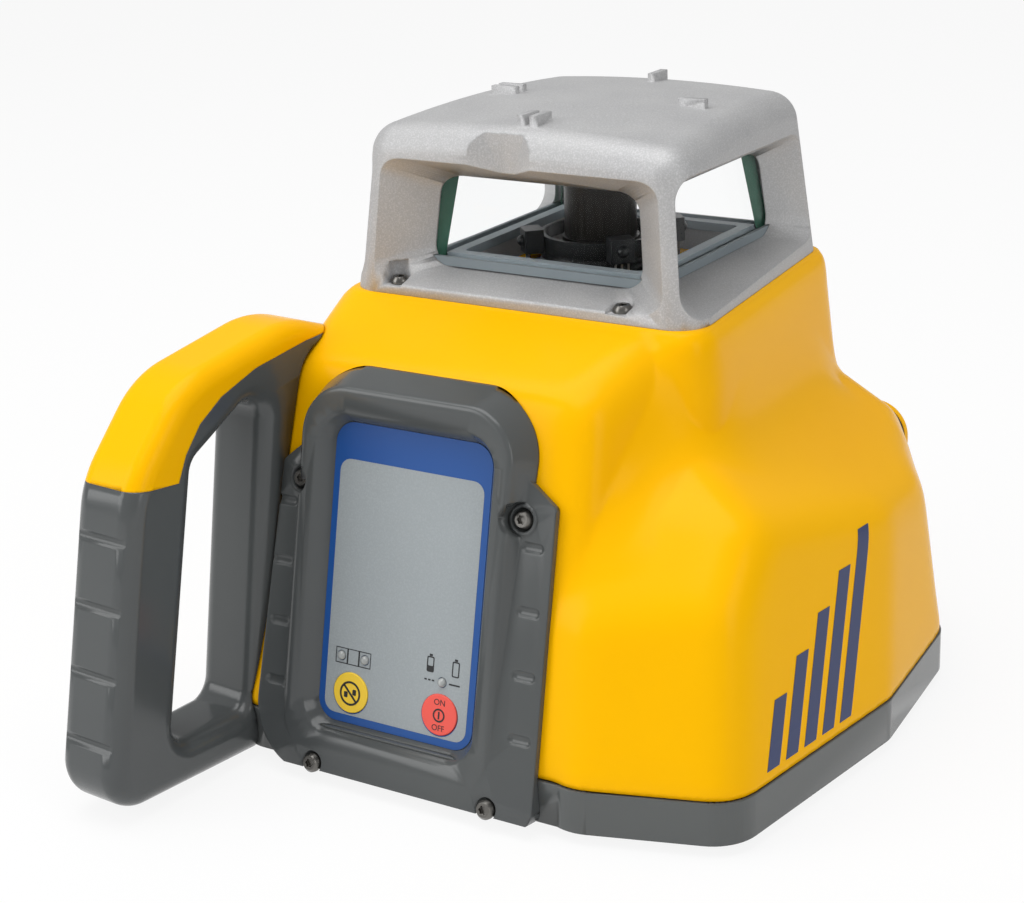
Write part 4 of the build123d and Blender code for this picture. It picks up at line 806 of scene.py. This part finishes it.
# Screws that show, with a six-lobe socket; each one is grown on its CAD screw's axis
def makeScrewTree():
    tree, source, sink = geometryTree("lobeScrews", {
        "Head Radius": "Float", "Top Radius": "Float", "Head Height": "Float", "Lobe Outer": "Float",
        "Lobe Inner": "Float", "Lobe Round": "Float", "Lobe Depth": "Float", "Shank Radius": "Float",
        "Shank Length": "Float", "Material": "Material",
    })
    around = 36  # points round the head
    crownShare = 0.5  # of the head's height
    shankStart = 0.9

    def times(value, factor):
        return calculated(tree, "MULTIPLY", value, factor)

    def lowered(geometry, depth):
        drop = addNode(tree, "ShaderNodeCombineXYZ", Z=depth)[0]
        return addNode(tree, "GeometryNodeTransform", Geometry=geometry, Translation=drop)[0]

    def tube(top, bottom, depth):
        return addNode(tree, "GeometryNodeMeshCone", {"fill_type": "NONE"}, Vertices=around, Radius_Top=top,
                       Radius_Bottom=bottom, Depth=depth)["Mesh"]

    def disc(radius, depth):
        flat = addNode(tree, "GeometryNodeMeshCircle", {"fill_type": "NGON"}, Vertices=around,
                       Radius=radius)[0]
        return lowered(addNode(tree, "GeometryNodeFlipFaces", Mesh=flat)[0], depth)

    star = addNode(tree, "GeometryNodeCurveStar", Points=6, Inner_Radius=source["Lobe Inner"],
                   Outer_Radius=source["Lobe Outer"])["Curve"]
    lobes = addNode(tree, "GeometryNodeFilletCurve", {"mode": "POLY"}, Curve=star, Count=4,
                    Radius=source["Lobe Round"], Limit_Radius=True)["Curve"]
    rim = addNode(tree, "GeometryNodeCurvePrimitiveCircle", Resolution=around,
                  Radius=source["Top Radius"])["Curve"]
    both = addNode(tree, "GeometryNodeJoinGeometry", Geometry=[rim, lobes])[0]
    land = addNode(tree, "GeometryNodeFillCurve", Curve=both)[0]
    socketFace = addNode(tree, "GeometryNodeFillCurve", Curve=lobes)[0]
    pit = addNode(tree, "GeometryNodeExtrudeMesh", {"mode": "FACES"}, Mesh=socketFace,
                  Offset_Scale=times(source["Lobe Depth"], -1.0), Individual=False)["Mesh"]
    crown = times(source["Head Height"], crownShare)
    dome = lowered(tube(source["Top Radius"], source["Head Radius"], crown), times(crown, -1.0))
    side = lowered(tube(source["Head Radius"], source["Head Radius"], crown), times(crown, -2.0))
    shank = tube(source["Shank Radius"], source["Shank Radius"], source["Shank Length"])
    shankTop = times(source["Head Height"], -shankStart)
    shankFoot = calculated(tree, "ADD", shankTop, times(source["Shank Length"], -1.0))
    under = disc(source["Head Radius"], times(source["Head Height"], -1.0))
    tip = disc(source["Shank Radius"], shankFoot)
    whole = addNode(tree, "GeometryNodeJoinGeometry",
                    Geometry=[land, pit, dome, side, lowered(shank, shankFoot), under, tip])[0]
    welded = addNode(tree, "GeometryNodeMergeByDistance", Geometry=whole, Distance=weldGap)[0]
    axis = addNode(tree, "GeometryNodeInputNamedAttribute", {"data_type": "FLOAT_VECTOR"}, Name="axis")[0]
    turn = addNode(tree, "FunctionNodeAlignRotationToVector", {"axis": "Z"}, Vector=axis)[0]
    placed = addNode(tree, "GeometryNodeInstanceOnPoints", Points=source["Geometry"], Instance=welded,
                     Rotation=turn)[0]
    real = addNode(tree, "GeometryNodeRealizeInstances", Geometry=placed)[0]
    done = addNode(tree, "GeometryNodeSetMaterial", Geometry=real, Material=source["Material"])[0]
    tree.links.new(done, sink.inputs["Geometry"])
    return tree


screwLook = {
    "Head Radius": 3.2 * mm, "Top Radius": 2.3 * mm, "Head Height": 2.4 * mm, "Lobe Outer": 1.65 * mm,
    "Lobe Inner": 1.15 * mm, "Lobe Round": 0.3 * mm, "Lobe Depth": 1.2 * mm, "Shank Radius": 1.6 * mm,
    "Shank Length": 11.8 * mm, "Material": finish["darkSteel"],
}
screwTree = makeScrewTree()
rimShare = 0.98  # points at this share of the head's radius or more are its rim


# Top and direction of a CAD screw: the head is at the end of its long axis that reaches furthest to the side
def screwAxis(points):
    centre = points.mean(axis=0)
    axis = np.linalg.eigh(np.cov((points - centre).T))[1][:, 2]
    along = (points - centre) @ axis
    beside = np.linalg.norm(points - centre - np.outer(along, axis), axis=1)
    if along[np.argmax(beside)] < (along.min() + along.max()) / 2:
        axis = -axis
    rim = points[beside > beside.max() * rimShare]
    foot = (rim.min(axis=0) + rim.max(axis=0)) / 2
    top = foot + axis * ((points @ axis).max() - foot @ axis)
    return top, axis


for node in ("lighthouse_screws", "frame_screws"):
    found = [screwAxis(group) for group in islands(node)]
    spots = bpy.data.meshes.new(node + "Spots")
    spots.from_pydata([tuple(top) for top, axis in found], [], [])
    axes = spots.attributes.new("axis", "FLOAT_VECTOR", "POINT")
    axes.data.foreach_set("vector", np.array([axis for top, axis in found]).ravel())
    mesh = grown(spots, screwTree, screwLook)
    shadeSmooth(mesh, screwSharpAngle)
    addPiece(pieceName(node), mesh, "housing", finish["darkSteel"], (node,))
print("screws")


# Navy bars on the lobe's right wall, laid on the shell by rays
def makeBarTree():
    tree, source, sink = geometryTree("wallBars", {
        "Bars": "Int", "Pitch": "Float", "Width": "Float", "First Height": "Float", "Height Step": "Float",
        "Slant": "Float", "Film": "Float", "Sunk Share": "Float", "Ray Length": "Float", "Origin": "Vector",
        "Along": "Vector", "Up": "Vector", "Inward": "Vector", "Wall": "Object", "Material": "Material",
    })

    def vector(operation, first, second):
        return addNode(tree, "ShaderNodeVectorMath", {"operation": operation}, _0=first, _1=second)[0]

    def scaled(direction, amount):
        return addNode(tree, "ShaderNodeVectorMath", {"operation": "SCALE"}, _0=direction, Scale=amount)[0]

    step = addNode(tree, "ShaderNodeCombineXYZ", X=source["Pitch"])[0]
    row = addNode(tree, "GeometryNodeMeshLine", {"mode": "OFFSET"}, Count=source["Bars"], Offset=step)[0]
    columns, rows = 6, 40  # points across and up one bar
    sheet = addNode(tree, "GeometryNodeMeshGrid", Size_X=1.0, Size_Y=1.0, Vertices_X=columns,
                    Vertices_Y=rows)["Mesh"]
    sheet = addNode(tree, "GeometryNodeTransform", Geometry=sheet, Translation=(0.0, 0.5, 0.0))[0]
    index = addNode(tree, "GeometryNodeInputIndex")[0]
    height = calculated(tree, "ADD", source["First Height"],
                        calculated(tree, "MULTIPLY", source["Height Step"], index))
    size = addNode(tree, "ShaderNodeCombineXYZ", X=source["Width"], Y=height, Z=1.0)[0]
    placed = addNode(tree, "GeometryNodeInstanceOnPoints", Points=row, Instance=sheet, Scale=size)[0]
    flat = addNode(tree, "GeometryNodeRealizeInstances", Geometry=placed)[0]
    spot = addNode(tree, "ShaderNodeSeparateXYZ", Vector=addNode(tree, "GeometryNodeInputPosition")[0])
    lean = calculated(tree, "MULTIPLY", spot["Y"], source["Slant"])
    across = calculated(tree, "ADD", spot["X"], lean)
    aside = vector("ADD", scaled(source["Along"], across), scaled(source["Up"], spot["Y"]))
    onWall = vector("ADD", source["Origin"], aside)
    stood = addNode(tree, "GeometryNodeSetPosition", Geometry=flat, Position=onWall)[0]
    shell = addNode(tree, "GeometryNodeObjectInfo", {"transform_space": "RELATIVE"},
                    Object=source["Wall"])["Geometry"]
    ray = addNode(tree, "GeometryNodeRaycast", Target_Geometry=shell, Ray_Direction=source["Inward"],
                  Ray_Length=source["Ray Length"])
    sunk = calculated(tree, "MULTIPLY", source["Film"], source["Sunk Share"])
    laid = vector("SUBTRACT", ray["Hit Position"], scaled(source["Inward"], sunk))
    film = addNode(tree, "GeometryNodeSetPosition", Geometry=stood, Selection=ray["Is Hit"], Position=laid)[0]
    raised = addNode(tree, "GeometryNodeExtrudeMesh", {"mode": "FACES"}, Mesh=film,
                     Offset_Scale=source["Film"], Individual=False)["Mesh"]
    back = addNode(tree, "GeometryNodeFlipFaces", Mesh=film)[0]
    closed = addNode(tree, "GeometryNodeJoinGeometry", Geometry=[raised, back])[0]
    welded = addNode(tree, "GeometryNodeMergeByDistance", Geometry=closed, Distance=weldGap)[0]
    real = addNode(tree, "GeometryNodeRealizeInstances", Geometry=welded)[0]
    done = addNode(tree, "GeometryNodeSetMaterial", Geometry=real, Material=source["Material"])[0]
    tree.links.new(done, sink.inputs["Geometry"])
    return tree


wall = {
    "heading": radians(-7.8), "lean": radians(8.5), "reach": 120 * mm, "foot": 18 * mm,
    "start": -76 * mm, "rise": 4 * mm, "stand": 12 * mm,
}
wallFace = Vector((cos(wall["heading"]), sin(wall["heading"]), 0))
wallOut = wallFace * cos(wall["lean"]) + Vector((0, 0, sin(wall["lean"])))
wallAlong = Vector((-wallFace.y, wallFace.x, 0))
wallUp = wallOut.cross(wallAlong)
wallPoint = wallFace * wall["reach"] + Vector((0, 0, wall["foot"]))
barLook = {
    "Bars": 5, "Pitch": 10.2 * mm, "Width": 6.6 * mm, "First Height": 20 * mm, "Height Step": 9 * mm,
    "Slant": 0.42, "Film": 0.12 * mm, "Sunk Share": 0.3, "Ray Length": 100 * mm,
    "Along": wallAlong, "Up": wallUp, "Inward": -wallOut,
    "Origin": wallPoint + wallAlong * wall["start"] + wallUp * wall["rise"] + wallOut * wall["stand"],
    "Wall": housing, "Material": finish["navyFilm"],
}
barMesh = grown(bpy.data.meshes.new("barStart"), makeBarTree(), barLook)
addPiece("SideBars", barMesh, "housing", finish["navyFilm"])
print("side bars", len(barMesh.polygons), "faces")

# Camera, as the photograph was taken
shot = {
    "position": (361.97 * mm, -628.95 * mm, 331.86 * mm), "yaw": 0.56762, "pitch": 0.33661, "roll": -0.036,
    "focal": 2200.0, "imageWidth": 1024.0, "sensor": 36.0,
}
level = Vector((cos(shot["yaw"]), sin(shot["yaw"]), 0))
heading = Vector((-level.y, level.x, 0))
ahead = heading * cos(shot["pitch"]) - Vector((0, 0, sin(shot["pitch"])))
upright = level.cross(ahead)
across = level * cos(shot["roll"]) + upright * sin(shot["roll"])
above = upright * cos(shot["roll"]) - level * sin(shot["roll"])
cameraData = bpy.data.cameras.new("camera")
cameraData.sensor_width = shot["sensor"]
cameraData.lens = shot["focal"] * shot["sensor"] / shot["imageWidth"]
camera = bpy.data.objects.new("camera", cameraData)
cameraTurn = Matrix((across, above, -ahead)).transposed().to_4x4()
camera.matrix_world = Matrix.Translation(shot["position"]) @ cameraTurn
bpy.context.scene.collection.objects.link(camera)
bpy.context.scene.camera = camera

# Floor and light
bpy.context.scene.view_settings.view_transform = "Standard"
stageLook = {
    "floorHalf": 6.0, "floorTone": 0.86, "floorRoughness": 0.9, "ownWhite": 0.88, "skyForObject": 0.45,
}


# The floor shows mostly its own white, to the camera and in reflections, and keeps the shadow
def makeFloorFinish(look):
    material, tree, shader = newMaterial("paleFloor")
    shader.inputs["Base Color"].default_value = (look["floorTone"],) * 3 + (1.0,)
    shader.inputs["Roughness"].default_value = look["floorRoughness"]
    shader.inputs["Specular IOR Level"].default_value = 0.0
    path = addNode(tree, "ShaderNodeLightPath")
    seen = calculated(tree, "MAXIMUM", path["Is Camera Ray"], path["Is Glossy Ray"])
    seen = calculated(tree, "MAXIMUM", seen, path["Is Transmission Ray"])
    share = calculated(tree, "MULTIPLY", seen, look["ownWhite"])
    white = addNode(tree, "ShaderNodeEmission")["Emission"]
    mix = addNode(tree, "ShaderNodeMixShader", Fac=share, _1=shader.outputs["BSDF"], _2=white)["Shader"]
    tree.links.new(mix, tree.nodes["Material Output"].inputs["Surface"])
    return material


half = stageLook["floorHalf"]
floorMesh = bpy.data.meshes.new("floor")
floorCorners = [(-half, -half, 0), (half, -half, 0), (half, half, 0), (-half, half, 0)]
floorMesh.from_pydata(floorCorners, [], [(0, 1, 2, 3)])
floorMesh.materials.append(makeFloorFinish(stageLook))
floor = bpy.data.objects.new("floor", floorMesh)
bpy.context.scene.collection.objects.link(floor)

world = bpy.data.worlds.new("studio")
bpy.context.scene.world = world
world.use_nodes = True
worldTree = world.node_tree
sky = worldTree.nodes["Background"]
sky.inputs["Color"].default_value = (1, 1, 1, 1)
path = addNode(worldTree, "ShaderNodeLightPath")
seen = calculated(worldTree, "MAXIMUM", path["Is Camera Ray"], path["Is Transmission Ray"])
skyLevel = addNode(worldTree, "ShaderNodeMapRange", Value=seen, To_Min=stageLook["skyForObject"],
                   To_Max=1.0)["Result"]
worldTree.links.new(skyLevel, sky.inputs["Strength"])

lamps = {
    "topSoftbox": {
        "place": (-0.15, -0.25, 1.35), "aim": (0.0, 0.0, 0.1), "size": (1.3, 1.0), "power": 12.3,
    },
    "leftSoftbox": {
        "place": (-0.95, -1.15, 0.75), "aim": (0.0, -0.05, 0.09), "size": (0.8, 1.0), "power": 8.0,
    },
    "rightSoftbox": {
        "place": (1.35, -0.55, 0.6), "aim": (0.0, 0.0, 0.09), "size": (0.5, 0.9), "power": 3.2,
    },
}
for name, look in lamps.items():
    data = bpy.data.lights.new(name, "AREA")
    data.shape = "RECTANGLE"
    data.size, data.size_y = look["size"]
    data.energy = look["power"]
    lamp = bpy.data.objects.new(name, data)
    lamp.location = look["place"]
    ray = Vector(look["aim"]) - Vector(look["place"])
    lamp.rotation_euler = ray.to_track_quat("-Z", "Y").to_euler()
    bpy.context.scene.collection.objects.link(lamp)
print("camera, floor and light")
